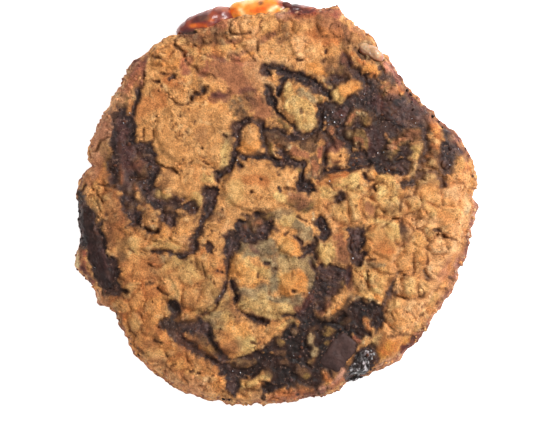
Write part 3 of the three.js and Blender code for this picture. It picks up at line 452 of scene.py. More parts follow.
    ("pale", 0.4, 0.6, [(-31.2, -41.4), (-30, -41.7)]), ("yellow", 0.3, 0.8, [(-34, -40.6)]),
    ("pale", 0.5, 1.2, [(-18, -46.4), (-16.4, -45.8)]),
    ("grey", 0.4, 0.9, [(-16.3, -28.5), (-15.2, -28.9)]), ("gold", 0.8, 3, [(-24.5, -19.5), (-20, -25)]),
]

# Broad differences of colour, with thin dark lines of painted shadow under some edges: paint, strength, half
# width, line
washes = [
    # rim and large areas
    ("toast", 0.5, 7, [(-39, -20), (-37, -34), (-24, -45)]),
    ("toast", 0.55, 3.2, [(-49, 8), (-46, 14), (-46, 20)]),
    ("rust", 0.7, 2.2, [(-44.5, 22), (-40.5, 29.5), (-36.5, 35.5)]),
    ("maroon", 0.5, 1.2, [(-38.2, 33.8), (-36.2, 36.6), (-34.3, 38)]),
    # painted shadow: a dark line down the side of a lump
    ("maroon", 0.7, 0.6, [(-34.4, 37), (-34.7, 33), (-35.3, 30)]),
    ("tan", 0.5, 2.2, [(-40, 26.5), (-39.5, 28.5)]),
    ("peach", 0.6, 3, [(-24, 40.6), (-14, 39.6), (-5, 41)]),
    ("peach", 0.6, 3.6, [(0, 38), (8, 41), (12, 45)]),
    ("rust", 0.7, 1.8, [(-5, -50.6), (0, -51.4), (5, -50)]),
    # upper left plate
    ("grey", 0.65, 1.1, [(-13.2, 17), (-12.3, 14.3)]), ("gold", 0.5, 3, [(-34, 29), (-34, 21)]),
    ("orange", 0.5, 2, [(-16, 26.2), (-19, 26.5)]),
    # melted sugar at the top
    ("tan", 0.95, 2.3, [(-13, 34), (-6, 34.2)]), ("tan", 0.95, 2.2, [(-11.5, 30.5), (-5, 31.5)]),
    ("tan", 0.9, 2.2, [(-5, 25.5), (-3.3, 23)]),
    ("maroon", 0.6, 0.7, [(-9.2, 28.8), (-7.5, 29.4), (-6, 28.8)]),
    ("maroon", 0.6, 0.7, [(-7.6, 27.4), (-6.6, 26)]), ("brown", 0.6, 1.6, [(-8, 27.8), (-6.8, 25)]),
    ("soaked", 0.6, 1.3, [(-11, 25.5), (-9.3, 22.5)]), ("tan", 0.75, 1.6, [(-14.5, 32.5), (-19, 33.8)]),
    ("rust", 0.7, 1, [(-24, 37.8), (-22.6, 36.6)]),
    ("rust", 0.75, 0.6, [(-18.4, 36.3), (-18.3, 34.2), (-19.4, 33.3)]),
    ("rust", 0.8, 0.9, [(-22, 42.4), (-18, 41.9), (-17.6, 43.6)]),
    ("maroon", 0.6, 0.7, [(-24.5, 43.7), (-20, 42.8)]),
    # painted shadows: thin maroon and brown lines along the edges of the orange ridge and under a plate
    ("maroon", 0.7, 0.6, [(-17.4, 40.9), (-13, 41.3), (-10, 41.9)]),
    ("maroon", 0.75, 0.6, [(-18, 38.2), (-15.5, 37.4), (-13.8, 36.7)]),
    ("brown", 0.6, 0.4, [(-12.3, 38), (-9, 38.5), (-7.4, 39.3)]),
    ("maroon", 0.75, 0.6, [(-16.6, 27.6), (-13.8, 27.5)]),
    # top
    ("maroon", 0.65, 0.8, [(-4, 41.8), (-2, 43.2), (-0.6, 43.7)]),
    ("brown", 0.6, 1, [(0.5, 41.8), (2.2, 43), (2, 45.3)]),
    ("rust", 0.6, 2.2, [(-18, 45.5), (-13, 47.6)]), ("brown", 0.55, 2.2, [(-22, 42.5), (-15.5, 43)]),
    ("soaked", 0.5, 1.6, [(-20, 41), (-14.4, 43.4)]), ("ember", 2, 1.2, [(4.6, 49.7), (9.4, 49.4)]),
    ("maroon", 0.5, 0.8, [(3.6, 50), (8.6, 50.2)]), ("rust", 1.4, 1.2, [(11.6, 49.2), (15, 48.6)]),
    ("tan", 1, 1.5, [(3, 47.6), (9, 47.4)]), ("tan", 0.7, 1.8, [(20, 44), (22.4, 41.6)]),
    ("tan", 0.7, 2, [(12.5, 47.5), (15, 44.5)]), ("brown", 0.75, 0.8, [(10.9, 48), (10.5, 43.4)]),
    ("soaked", 0.95, 1.9, [(17.6, 35.8), (17.6, 33.2)]),
    ("soaked", 0.8, 1.2, [(13.2, 34.3), (15.5, 33.3)]), ("brown", 0.6, 1, [(-40.2, 14.4), (-40.2, 10.4)]),
    ("black", 0.8, 0.5, [(-38.8, 6.3), (-35, 5.9), (-32, 5.2)]),
    ("olive", 1.4, 1.4, [(-44.5, 13.4), (-44, 9.4)]),
    ("grey", 1.3, 1.5, [(0.2, -14.2), (2.4, -16), (6.6, -15.6)]),
    ("yellow", 1.2, 3.6, [(-13, -33), (-9, -38)]), ("yellow", 0.4, 5.5, [(-24, -18), (-18, -26)]),
    ("olive", 0.4, 5, [(-23, -19), (-18, -25)]), ("yellow", 0.7, 4, [(-30, -28), (-28, -38), (-20, -44)]),
    ("toast", 1.6, 1.6, [(-31.6, -15)]), ("orange", 1.2, 1.6, [(-11.8, -32), (-8.6, -33.2)]),
    ("maroon", 0.6, 0.9, [(18.6, -17.6), (19, -22)]), ("olive", 1.3, 1.2, [(4, 0.2), (8, -1.2)]),
    ("yellow", 1.3, 2.8, [(25.4, -6.6), (29.4, -8.6)]),
    ("yellow", 1.1, 2.4, [(22, -18.8), (27.4, -19.8)]), ("tan", 1, 1.4, [(14, -5), (15.6, -9)]),
    ("brown", 0.4, 0.9, [(14.4, -15.4), (17.6, -15.8)]), ("yellow", 1, 3.2, [(34.4, -21.6), (37, -27)]),
    # cream lines along the lower right edges of lumps and ridges: painted highlights, where the light from
    # the right falls on them
    ("creamAndHighlight", 1.3, 0.6, [(29, -34), (34, -32.4), (38.4, -29)]),
    ("creamAndHighlight", 1.1, 0.6, [(44.4, -11.9), (49, -11.2)]),
    ("creamAndHighlight", 1.2, 0.7, [(35.6, -16.8), (39.8, -17.2)]),
    ("creamAndHighlight", 1.1, 0.6, [(20.4, -24.9), (26, -25.9)]), ("yellow", 1, 1.8, [(34, -9), (36.4, -10.4)]),
    ("brown", 0.7, 0.7, [(17.4, 46), (17.9, 43), (17.6, 40.5)]),
    ("maroon", 0.6, 1.5, [(26.2, 27), (26, 25.3)]), ("maroon", 0.5, 1.3, [(17.5, 38), (18.5, 36)]),
    # upper right
    ("maroon", 0.8, 2.2, [(25.3, 18), (25.6, 14.5)]), ("brown", 0.5, 1.5, [(25, 22), (28, 18.5)]),
    ("brown", 0.6, 1.3, [(12, 16), (17, 15.3)]), ("maroon", 0.6, 1, [(16, 15.3), (13, 13.5)]),
    ("brown", 0.5, 1.5, [(36.5, 7.5), (37.5, 10)]), ("brown", 0.6, 1.1, [(31, 17.7), (37, 17)]),
    ("toast", 0.8, 1.6, [(46.6, 12.4), (49, 8.6)]), ("brown", 0.6, 1.4, [(40, 13), (41.6, 10)]),
    ("brown", 0.6, 0.9, [(39, 6.8), (42.4, 5)]), ("maroon", 0.4, 1, [(31.4, 33), (32, 31), (34, 28.8)]),
    ("maroon", 0.3, 0.8, [(34, 28.8), (36.8, 26.6), (39.8, 23.6), (42.4, 21.2)]),
    ("maroon", 0.7, 0.9, [(42.4, 21.2), (45, 19.4), (47.6, 16.8)]),
    ("plum", 0.25, 1.6, [(36.6, 24.6), (39, 22.4)]), ("brown", 0.75, 2.4, [(41, 10), (38.6, 6.6)]),
    ("soaked", 0.6, 1.2, [(36, 4), (38, 8)]), ("tan", 0.5, 2.6, [(46, 7), (47, 2.6)]),
    ("maroon", 0.4, 1.1, [(16.3, 23.2), (16.8, 21.8)]), ("brown", 0.5, 1.3, [(20, 35), (18, 32)]),
    # left
    ("plum", 0.9, 1.5, [(-40.2, 22), (-40, 15), (-39.4, 9), (-39, 4)]),
    ("black", 0.7, 0.4, [(-42.2, 20), (-42, 14), (-41.4, 7)]),
    ("black", 0.7, 0.5, [(-38, 21), (-37.6, 15.5)]), ("plum", 0.8, 3, [(29, 24.6), (35, 22.4)]),
    ("maroon", 0.6, 1.6, [(-39.4, 13.5), (-38.4, 9.5)]), ("rust", 0.75, 0.7, [(-40.4, 8.8), (-40.4, 5)]),
    ("maroon", 0.5, 1.2, [(-36.5, 8.5), (-34.5, 10.3)]), ("maroon", 0.5, 1.3, [(-40.3, 21), (-40.2, 17)]),
    ("toast", 0.7, 2.2, [(-46.3, 9), (-45, 6.5)]),
    ("toast", 0.8, 2.4, [(-43.4, 2.6), (-42, -3), (-41.6, -8)]),
    ("tan", 0.7, 0.9, [(-40.3, -1), (-39.6, -4.5)]), ("gold", 0.9, 1.8, [(-35, -14.5), (-34.6, -18)]),
    ("yellow", 0.8, 2.6, [(-38.6, -11), (-38, -22), (-36, -27)]),
    ("gold", 1.2, 3.4, [(-36, -36), (-30, -42), (-22, -47)]),
    ("glaze", 0.35, 3.4, [(-36, -30), (-32, -38), (-24, -44)]), ("maroon", 0.6, 1.2, [(-48.4, -11.6)]),
    ("maroon", 0.5, 1.4, [(-45.6, -13.5), (-45, -17)]),
    ("maroon", 0.5, 0.9, [(-42.3, -14.7), (-42.6, -16.6)]),
    ("toast", 0.5, 2, [(-26.5, -18.5), (-24, -19.3)]), ("toast", 0.5, 2, [(-23.5, -27), (-21.5, -25)]),
    # centre
    ("toast", 0.65, 1.4, [(-7.3, 5.8), (-3.7, 5.4)]), ("yellow", 0.5, 2, [(-11, 4), (-10.5, 1.5)]),
    ("maroon", 0.25, 1, [(4, 1.8), (5.8, 0.8)]), ("maroon", 0.5, 0.8, [(6.5, -0.8), (5.6, -1.2)]),
    ("toast", 0.7, 1.6, [(16.4, -4.5), (16.4, -7.5)]),
    ("toast", 0.85, 1.7, [(27.8, -12.3), (28.7, -11.7)]),
    ("brown", 0.55, 1.7, [(33.8, -8.3), (34.3, -8.6)]), ("maroon", 0.5, 0.6, [(32.4, -4.5), (32.5, -8)]),
    ("brown", 0.6, 0.9, [(32.5, -13.3)]),
    # the round plate
    ("grey", 1.9, 2.2, [(-8.4, -12), (-5, -12.6), (-2, -12.2)]),
    ("grey", 1.7, 1, [(-3.6, -14.6), (-0.8, -16), (-0.6, -19), (-1, -22)]),
    ("grey", 1.3, 2.8, [(-7, -25), (-1, -27), (4.4, -26.6)]),
    ("yellow", 1.3, 2, [(-8, -26), (-2, -28), (3, -28)]),
    ("grey", 1.8, 1, [(-10, -22.4), (-7.4, -23.4), (-3.4, -22.6)]),
    ("maroon", 0.55, 0.7, [(-6.6, -11.4), (-5.2, -12.8)]),
    ("grey", 1.9, 1, [(8.7, -15), (8.9, -19), (8.6, -23)]),
    ("yellow", 1.3, 0.9, [(-4, -24), (-3, -26.6)]), ("yellow", 1, 1.1, [(-2, -28), (1, -28.4)]),
    ("olive", 1, 0.6, [(7.4, -16), (7.8, -18.6)]), ("maroon", 0.55, 1.3, [(6, -28), (8, -25.8)]),
    ("brown", 0.5, 0.6, [(-12.9, -15), (-13.2, -22)]),
    # right; the peach washes here are a lighter bake and painted light from the right
    ("peach", 0.7, 5, [(45, 5), (47, -3), (44, -10)]), ("peach", 0.6, 3.4, [(40, -25), (34, -31)]),
    ("peach", 0.55, 2.6, [(42, -13), (38, -16)]), ("toast", 0.9, 1.5, [(42.5, -4.8), (44.5, -4.1)]),
    ("orange", 0.7, 2.6, [(43, -1.5), (45.5, -2)]), ("brown", 0.75, 0.9, [(41, -8.2), (41.8, -9)]),
    ("rust", 0.7, 1.1, [(48.8, -8), (49.2, -10.6)]), ("orange", 0.8, 1.2, [(40.2, -13), (41, -12.4)]),
    ("rust", 0.9, 1.4, [(48.2, -13.3), (46, -14.9), (44.2, -17), (43.6, -19)]),
    ("ember", 1.3, 1.2, [(46.8, -14.6), (44.6, -17.2), (43.6, -19.4)]),
    ("glaze", 0.7, 0.8, [(46.4, -14.4), (45, -17)]), ("rust", 0.8, 0.9, [(43.4, -17.4), (42.6, -18.8)]),
    ("tan", 0.6, 2.2, [(40.5, -20.6), (41.5, -22.6)]), ("maroon", 0.5, 0.5, [(43.4, -17.3), (45.2, -15)]),
    ("brown", 0.6, 0.6, [(38.6, -19.8), (39.6, -19.6)]),
    ("pink", 1.5, 1.1, [(49.2, -12), (47.4, -17), (45, -22.6), (42, -27)]),
    ("maroon", 0.6, 0.6, [(50, -8.6), (47.2, -18.6), (45, -23.6), (42.4, -27.6), (39.4, -31.4)]),
    ("yellow", 0.5, 2.4, [(31, -28), (35, -27.5)]), ("glaze", 0.35, 2.2, [(28, -37), (33.5, -35.3)]),
    ("glaze", 0.8, 1.7, [(27.3, -38.8), (29.8, -37.8)]),
    ("pink", 0.7, 0.9, [(26.6, -43.4), (31, -41.2), (34, -38)]),
    ("maroon", 0.8, 1.3, [(33.6, -38.4), (36.4, -36), (38.6, -33.4), (40, -31)]),
    ("maroon", 0.5, 0.6, [(32.6, -38.9), (34.4, -37.4)]),
    ("brown", 0.5, 0.6, [(36.6, -31.9), (35.8, -33.4)]),
    ("pink", 1.4, 0.8, [(52, 0), (51.6, -3), (50.8, -6)]), ("soaked", 0.7, 1.3, [(33, -6.2), (34, -9.6)]),
    ("soaked", 0.4, 0.5, [(32.1, 4), (32.2, 0), (32.3, -5), (32.6, -12)]),
    ("soaked", 0.4, 0.9, [(28.5, -1.8), (30.4, -2.6)]),
    ("soaked", 0.5, 0.9, [(32.2, -13), (33.4, -15.5)]), ("toast", 0.8, 1.6, [(27.4, -12), (28.8, -12.6)]),
    ("glaze", 0.6, 0.8, [(27.6, -12.6), (28.6, -13)]),
    # lower
    ("orange", 0.75, 1.6, [(-12.6, -32), (-12, -35)]),
    ("grey", 0.7, 2.2, [(-16.4, -30.6), (-15.3, -33.4)]),
    ("soaked", 0.8, 1.3, [(-22.2, -34.6), (-19.6, -35.8)]),
    ("soaked", 0.8, 1, [(-12.6, -42.3), (-6.6, -42.2)]),
    ("soaked", 0.6, 0.8, [(-17.8, -39.6), (-16, -40)]), ("brown", 0.4, 0.8, [(-33.3, -37), (-30, -36.4)]),
    ("yellow", 1, 2.4, [(-37, -33), (-31, -39), (-22, -45)]),
    ("maroon", 0.6, 0.8, [(7.4, -50.4), (12.4, -49.6)]), ("rust", 0.7, 0.8, [(14, -48.2), (17, -46)]),
    ("black", 0.6, 1.4, [(11, -31.2), (17.5, -30.2), (21, -28)]),
    ("black", 0.55, 1.8, [(4, -39.4), (6.8, -38)]), ("black", 0.5, 1.5, [(-3.4, -42.6), (3, -43.4)]),
    ("maroon", 0.5, 0.8, [(13.2, -26.2), (11.4, -28.4)]),
    ("soaked", 0.7, 0.8, [(10.2, -26.4), (11.8, -24)]),
    ("black", 0.8, 0.5, [(27.6, -28.2), (26.2, -31.4), (25.4, -33.6)]),
    ("black", 0.7, 0.6, [(19, -24.6), (17.2, -27.4), (14.8, -29.6)]),
    ("fudge", 0.9, 5, [(4, -36), (13, -35)]), ("fudge", 0.75, 5, [(-4, -43), (8, -41)]),
    ("fudge", 0.75, 4, [(17, -32), (24, -28)]), ("fudge", 0.5, 6, [(15, 24), (26, 15), (30, 10)]),
    ("peach", 0.7, 1.6, [(30, -31.6), (35, -34.4)]),
    # peach along the rim at the lower left and upper left: painted light, where the rim slopes away from the
    # lamps
    ("peach", 2, 2.2, [(-31, -41.6), (-26.6, -46), (-19, -48.8)]),
    ("peach", 0.7, 1.3, [(-50.2, 5), (-50, -0.6)]), ("peach", 1.4, 1.4, [(-45, 22), (-42, 27.8)]),
    ("peach", 1.2, 1.2, [(-41, 31), (-38.4, 35.4)]),
    ("brown", 0.4, 2.2, [(-43, 2.4), (-42.4, -4), (-41.6, -9)]),
    ("brown", 0.5, 1, [(-44, -6), (-43.4, -11)]), ("maroon", 0.7, 1, [(-50.4, -17.8), (-49, -20)]),
    ("brown", 0.4, 1.4, [(-34.6, -1.2), (-33.6, -2.6)]), ("brown", 0.4, 1.2, [(-30, 4), (-28, 7)]),
    ("black", 0.75, 1.5, [(-50, -3.6), (-48.4, -8.4), (-47.6, -12)]),
    ("black", 0.9, 1.6, [(-47, -15), (-45.4, -19), (-43.4, -22.6)]),
    ("black", 0.7, 1.1, [(-42.6, -15), (-41.8, -20)]), ("soaked", 1, 1, [(-41.4, -24.2), (-38.8, -23.4)]),
    ("brown", 0.6, 1.3, [(-40.4, -13.4), (-39.4, -20)]),
    ("brown", 0.55, 1.2, [(-16.6, -4.2), (-14.8, -3)]), ("rust", 0.7, 1.1, [(-24.4, 37), (-23.6, 33.8)]),
    ("toast", 0.9, 1.6, [(-20.4, 39.6), (-14.6, 38.8)]), ("rust", 0.9, 1.5, [(-9.6, 37), (-7, 36)]),
    ("brown", 0.35, 1.4, [(-20, 18), (-19, 17)]), ("toast", 0.9, 1.4, [(-28.4, 31.6), (-25, 31)]),
    ("maroon", 0.5, 1.3, [(-17, 26.8), (-13, 27.4)]), ("grey", 0.8, 1.5, [(0.2, -3.4), (3, -3.4)]),
    ("grey", 0.8, 1.2, [(6.6, -15.8), (8.4, -18.4)]), ("brown", 0.45, 1.8, [(17.6, -13), (19, -16.6)]),
    ("toast", 0.9, 2.4, [(26, -8), (27, -12)]), ("peach", 1.9, 1.4, [(13, -1), (13.8, -4.6), (14.6, -7)]),
    ("peach", 1.4, 1.2, [(21, -3.6), (22.6, -6)]), ("peach", 1.6, 1.2, [(-25, -9.6), (-22, -9.8)]),
    ("peach", 1.4, 1, [(-13.4, -7.4), (-12, -8)]), ("brown", 0.4, 1.2, [(19, -22.6), (25, -21)]),
    ("brown", 0.4, 1.2, [(32, -14.6), (33, -19.4)]), ("maroon", 0.5, 0.9, [(50, -12), (49.4, -14)]),
    ("brown", 0.5, 1.2, [(34.4, -18.4), (33.8, -20)]), ("brown", 0.5, 1.5, [(26.8, -34.8), (25.6, -37)]),
    ("toast", 0.6, 2, [(-13, -36.4), (-11, -39)]), ("brown", 0.4, 1.5, [(-24.6, -36.4), (-25, -40)]),
    ("brown", 0.35, 3, [(-35, -31), (-33.6, -35)]), ("brown", 0.4, 1.4, [(-43, -25), (-42, -27)]),
    ("brown", 0.5, 1.4, [(-10, -36.6), (-13, -38.6)]), ("black", 0.6, 1.4, [(-4, -43), (-1.4, -44)]),
    ("brown", 0.6, 1.5, [(38.6, 6.2), (42, 6.4)]), ("brown", 0.5, 1.2, [(36.6, 15.6), (37.6, 14)]),
    ("maroon", 0.5, 1, [(47.4, 15.4), (49.4, 11)]), ("brown", 0.5, 1.3, [(36, 3.8), (35.6, 1.6)]),
    ("brown", 0.5, 1.3, [(16.6, 42.4), (19.6, 41.4)]), ("toast", 1.1, 2.4, [(9, 43.4), (15, 43)]),
    ("brown", 0.45, 1.3, [(40.6, 8), (42.4, 13)]), ("toast", 1.2, 1.4, [(12, 5.6), (17.4, 7)]),
    ("brown", 0.5, 1, [(33.6, 21), (36, 20)]), ("brown", 0.5, 1.3, [(12.4, 35.4), (14.6, 36)]),
    ("black", 0.6, 1.3, [(28, 13.4), (26.8, 11.4)]),
    ("black", 0.9, 0.6, [(-41.8, -28), (-41.2, -30.8), (-40.4, -32.6)]),
    ("peach", 1.2, 3.2, [(-10, 47), (-7, 41.6)]), ("gold", 1.2, 1.6, [(-22, 45.4), (-19.6, 46)]),
    ("peach", 0.9, 2.4, [(-6.4, 35), (-3.4, 31)]), ("peach", 0.7, 1.5, [(-2.4, 29), (-2, 27.6)]),
    ("tan", 0.8, 1.4, [(4, 1), (7, 0)]), ("brown", 0.3, 1.2, [(4.4, 0.6), (6.6, -0.4)]),
    ("brown", 0.5, 1.2, [(28, 31.6), (29.6, 30.4)]), ("maroon", 0.5, 1.1, [(31, 35.6), (32.2, 34)]),
    ("brown", 0.5, 0.9, [(24.6, 37), (26.4, 36.2)]), ("toast", 0.7, 2.2, [(-35.4, 24), (-31, 27)]),
    ("toast", 0.7, 2.2, [(-19, -13.6), (-15, -17.6)]), ("brown", 0.35, 1.6, [(-32, -17), (-32.6, -19.4)]),
    ("brown", 0.5, 1.3, [(-13, -26.6), (-10, -30)]), ("brown", 0.5, 1.5, [(-25, -29.6), (-22.4, -30.8)]),
    ("maroon", 0.4, 1.3, [(-25, -35), (-23.4, -37.6)]), ("toast", 0.8, 2, [(-14, -34.6), (-12, -38)]),
    ("black", 0.45, 1.4, [(12.4, -41), (14, -43.4)]), ("brown", 0.4, 0.9, [(-0.6, -14.4), (-0.2, -17)]),
    ("brown", 0.6, 1.1, [(28.8, -24.6), (28, -27)]), ("rust", 0.7, 0.9, [(40, -31.4), (38.6, -33.6)]),
    ("rust", 0.9, 1, [(44.6, -16.4), (43, -18.6)]), ("yellow", 0.9, 1, [(-4, -18.4), (-2.6, -19)]),
    ("peach", 0.8, 1.2, [(-46.4, -24.4), (-45, -26)]),
    # right side: peach, a lighter bake there and painted light from the right; cream, painted highlights
    # along the lip of a lump and along a ridge
    ("peach", 2, 2.2, [(38, -15), (44, -11.6), (47, -10.2)]),
    ("creamAndHighlight", 0.9, 0.9, [(39, -14.6), (43, -12.4), (46, -11)]),
    ("peach", 1.4, 1.6, [(37.6, -3), (37.8, -6)]), ("peach", 1.5, 1.5, [(31, -24), (33, -22.6)]),
    ("peach", 1.3, 2.2, [(38.4, -22), (42, -23.4)]), ("peach", 1.6, 2.6, [(34.5, -28), (38.5, -25)]),
    ("yellow", 0.9, 2.4, [(-9.5, -16.5), (-6.5, -19)]), ("yellow", 0.8, 2.2, [(2.5, -20)]),
    ("yellow", 1.2, 2, [(2.5, -11.5)]), ("peach", 2, 2.2, [(39, -25), (36.6, -29.4), (29.6, -33)]),
    ("creamAndHighlight", 0.8, 0.8, [(38, -28), (35, -31), (30, -33)]),
    # peach here: painted light on the left rim
    ("peach", 1.6, 1.6, [(-41.6, 26), (-42.6, 22)]), ("gold", 1.2, 1.6, [(-28, 41), (-27, 36)]),
    ("pink", 0.8, 2.4, [(-48, 8), (-46, 14), (-44.4, 20)]),
    ("creamAndHighlight", 0.9, 0.5, [(31, -0.4), (33.4, -1.6)]), ("peach", 1.4, 1.2, [(22, 2), (23, 0.6)]),
    ("yellow", 1.4, 1.4, [(-13, 14), (-13.6, 9.4)]), ("brown", 0.5, 1.2, [(-3, -42.2), (-1, -44)]),
    ("brown", 0.5, 1, [(4.4, -48), (8, -48.6)]), ("orange", 0.9, 1.6, [(-11, -17), (-9.6, -20)]),
    ("maroon", 0.35, 1.2, [(7.6, -24.6), (6.4, -28)]),
    ("rim", 0.5, 2, [(-33.6, -38.6), (-28, -44), (-20, -48.4)]),
    ("pink", 0.5, 2.2, [(-43.6, 23), (-41, 27.4)]),
    # broad tones: peach over the right, a lighter bake there and painted light from that side; browner at
    # the lower left; darker melt below
    ("peach", 0.9, 8, [(38, 4), (42, -8), (36, -24)]),
    ("toast", 0.6, 8, [(-38, -22), (-34, -36), (-22, -44)]),
    ("fudge", 0.5, 6, [(-4, -42), (8, -42), (20, -32)]),
]

# Small dark places, over everything, some of them painted shadows under edges and painted shade in pores:
# half width, then their lines
specks = {
    0.2: [[(12.8, 5), (13.8, 4.6), (14.3, 3.5)]],
    0.25: [[(-31.4, 21)], [(-32.4, 19.7)], [(-24.9, 22)], [(-21.2, 21), (-21.5, 20.2)],
          [(-23.8, 18.4), (-23, 17.8)], [(-24.2, 10.9)], [(-29.7, 18.2)], [(-46.5, -3.8)], [(-17, -20)],
          [(-5, -18.6), (-5, -19.4)], [(-3.3, -19.8)], [(-27.3, -42.4), (-26.5, -42)], [(-14.6, -34)],
          [(-11, -38)], [(13.2, -48.3), (13, -49)]],
    0.3: [[(-30.7, 31), (-31.5, 31.1)], [(-29.9, 29.8)], [(-30.7, 28.6)], [(-19.3, 11.3)],
          [(-31.4, 22.4)], [(-36.4, 17.2)], [(-23.6, 9.1)], [(-17.2, 8.7), (-16.2, 8.6)], [(0.3, 7)],
          [(6.1, 23.8), (6.3, 23)], [(40.6, 17)], [(42.8, 16)], [(18, 4)], [(-32.2, -5)],
          [(-19.5, -11.2), (-18.5, -11.3)], [(-15.8, -12.5)], [(-29, -10.1)],
          [(-38.6, -11.9), (-37.3, -13)], [(-31, -22.4)], [(-22.2, -15.5)], [(-4.2, -20.7)],
          [(23.5, -15.2), (25.4, -14.8)], [(38.7, -13.6), (39.2, -15), (39, -16)],
          [(22, -25), (23, -25.3), (24.2, -25.7)], [(33.6, -29), (33.3, -29.8)], [(29.5, -34.7)],
          [(31.8, -34)], [(-35, -32.2), (-35.2, -33.2)], [(-31.8, -36), (-30, -36.7)], [(-26.8, -40.2)],
          [(-19.9, -47.9)], [(-14.8, -33)], [(-6.5, -36.4), (-5.8, -36.6)], [(-12, -50.5)],
          [(-13.5, -51.5), (-12, -51.7)], [(26.5, -35.8)]],
    0.35: [[(-29.5, 33.1)], [(-30.3, 37.3)], [(-19.4, 13.8)], [(-14, 17.4), (-13.4, 16.9)],
          [(-24.8, 8.1)], [(-4.4, 5.8)], [(12.7, 37), (12, 36.3)], [(3.3, 47.6)],
          [(24, 37.2), (26, 37.4), (27.6, 36.9)], [(20.5, -1.2)], [(28, -2.6)],
          [(-38.5, 6.3), (-36, 6), (-34, 6.2)], [(-30.4, -5), (-30.3, -6.3)],
          [(-33.4, -7.2), (-31, -7.8)], [(-34, -21.2), (-32.2, -21)], [(2.2, -8.5), (3, -8.1)],
          [(43, -8.7), (44, -9.2), (45.5, -9.6)], [(37.3, -29.9), (38.2, -29.4)], [(38.3, -23.7)],
          [(-38.2, -33.5), (-37, -34.4), (-36.5, -34.6)], [(-36.2, -38), (-35.5, -38.8), (-34.6, -39.5)],
          [(-28.5, -39.9)], [(-22.7, -44), (-21.8, -43.9)], [(-20.7, -44.3), (-19.9, -44.3)],
          [(-15.3, -26.3), (-16, -27.6), (-17.8, -28.9), (-19.5, -29.5)], [(10.8, -49.8)],
          [(-49.8, 4.3), (-50.8, 2.7)]],
    0.4: [[(-6.5, 2.4)], [(4.4, 20.7)], [(5.3, 37), (6.6, 36.9)], [(1.3, 46.7)], [(23.2, 30.5)],
          [(25.2, 32.6)], [(21, 14.9), (21.1, 14.6)], [(16.3, 12)],
          [(-44.8, 4.2), (-43.4, 4.3), (-42.4, 4)], [(-44.3, -3.3)], [(-18, -6)], [(-38.8, -23)],
          [(-0.5, -17.2)], [(4.2, -23), (4.5, -23.1)], [(5.4, -3.7), (7.6, -5)], [(-2.2, -49.6)],
          [(2, -51.8)], [(46.2, -20.2)], [(43.5, -25.4)], [(-38.8, -35.4)], [(-38.1, -37.2)]],
    0.45: [[(-31.8, 4)], [(-32.1, 12)], [(-14.3, -1.9)], [(4.6, -9.1), (5.8, -9.8), (6.5, -10.7)],
          [(5.6, -14.5), (6.8, -14.1)], [(5.2, -50.3)], [(45.3, -19.6)]],
    0.5: [[(-26.6, 32.3), (-28, 32)], [(-23.8, 36.6)], [(0.4, 3.4), (0.8, 2.7)],
          [(12.9, 39.4), (12.8, 38.3)], [(22.7, 33), (22.8, 32.4)], [(22.9, 12.2)], [(-14.2, -18.3)],
          [(41, -7.3), (42, -7.5)], [(35.2, -35.9), (35.9, -35.5)], [(50, -10)], [(51.4, 6.6)],
          [(44.3, -22.6)], [(21.5, 39.5)], [(-42.8, -22.5)], [(-47.9, -9.9)]],
    0.55: [[(-3, -15.9), (-2.4, -15.9)]],
    0.6: [[(26.8, 35)], [(-36.6, 13)], [(-15.4, -18)], [(-3.9, -31)], [(-24.3, 44.2), (-21.5, 44.2)],
          [(-43, -19)]],
    1: [[(-17.6, -11.4), (-17.2, -12.3)]],
    1.1: [[(-3.5, -50.7)]],
}
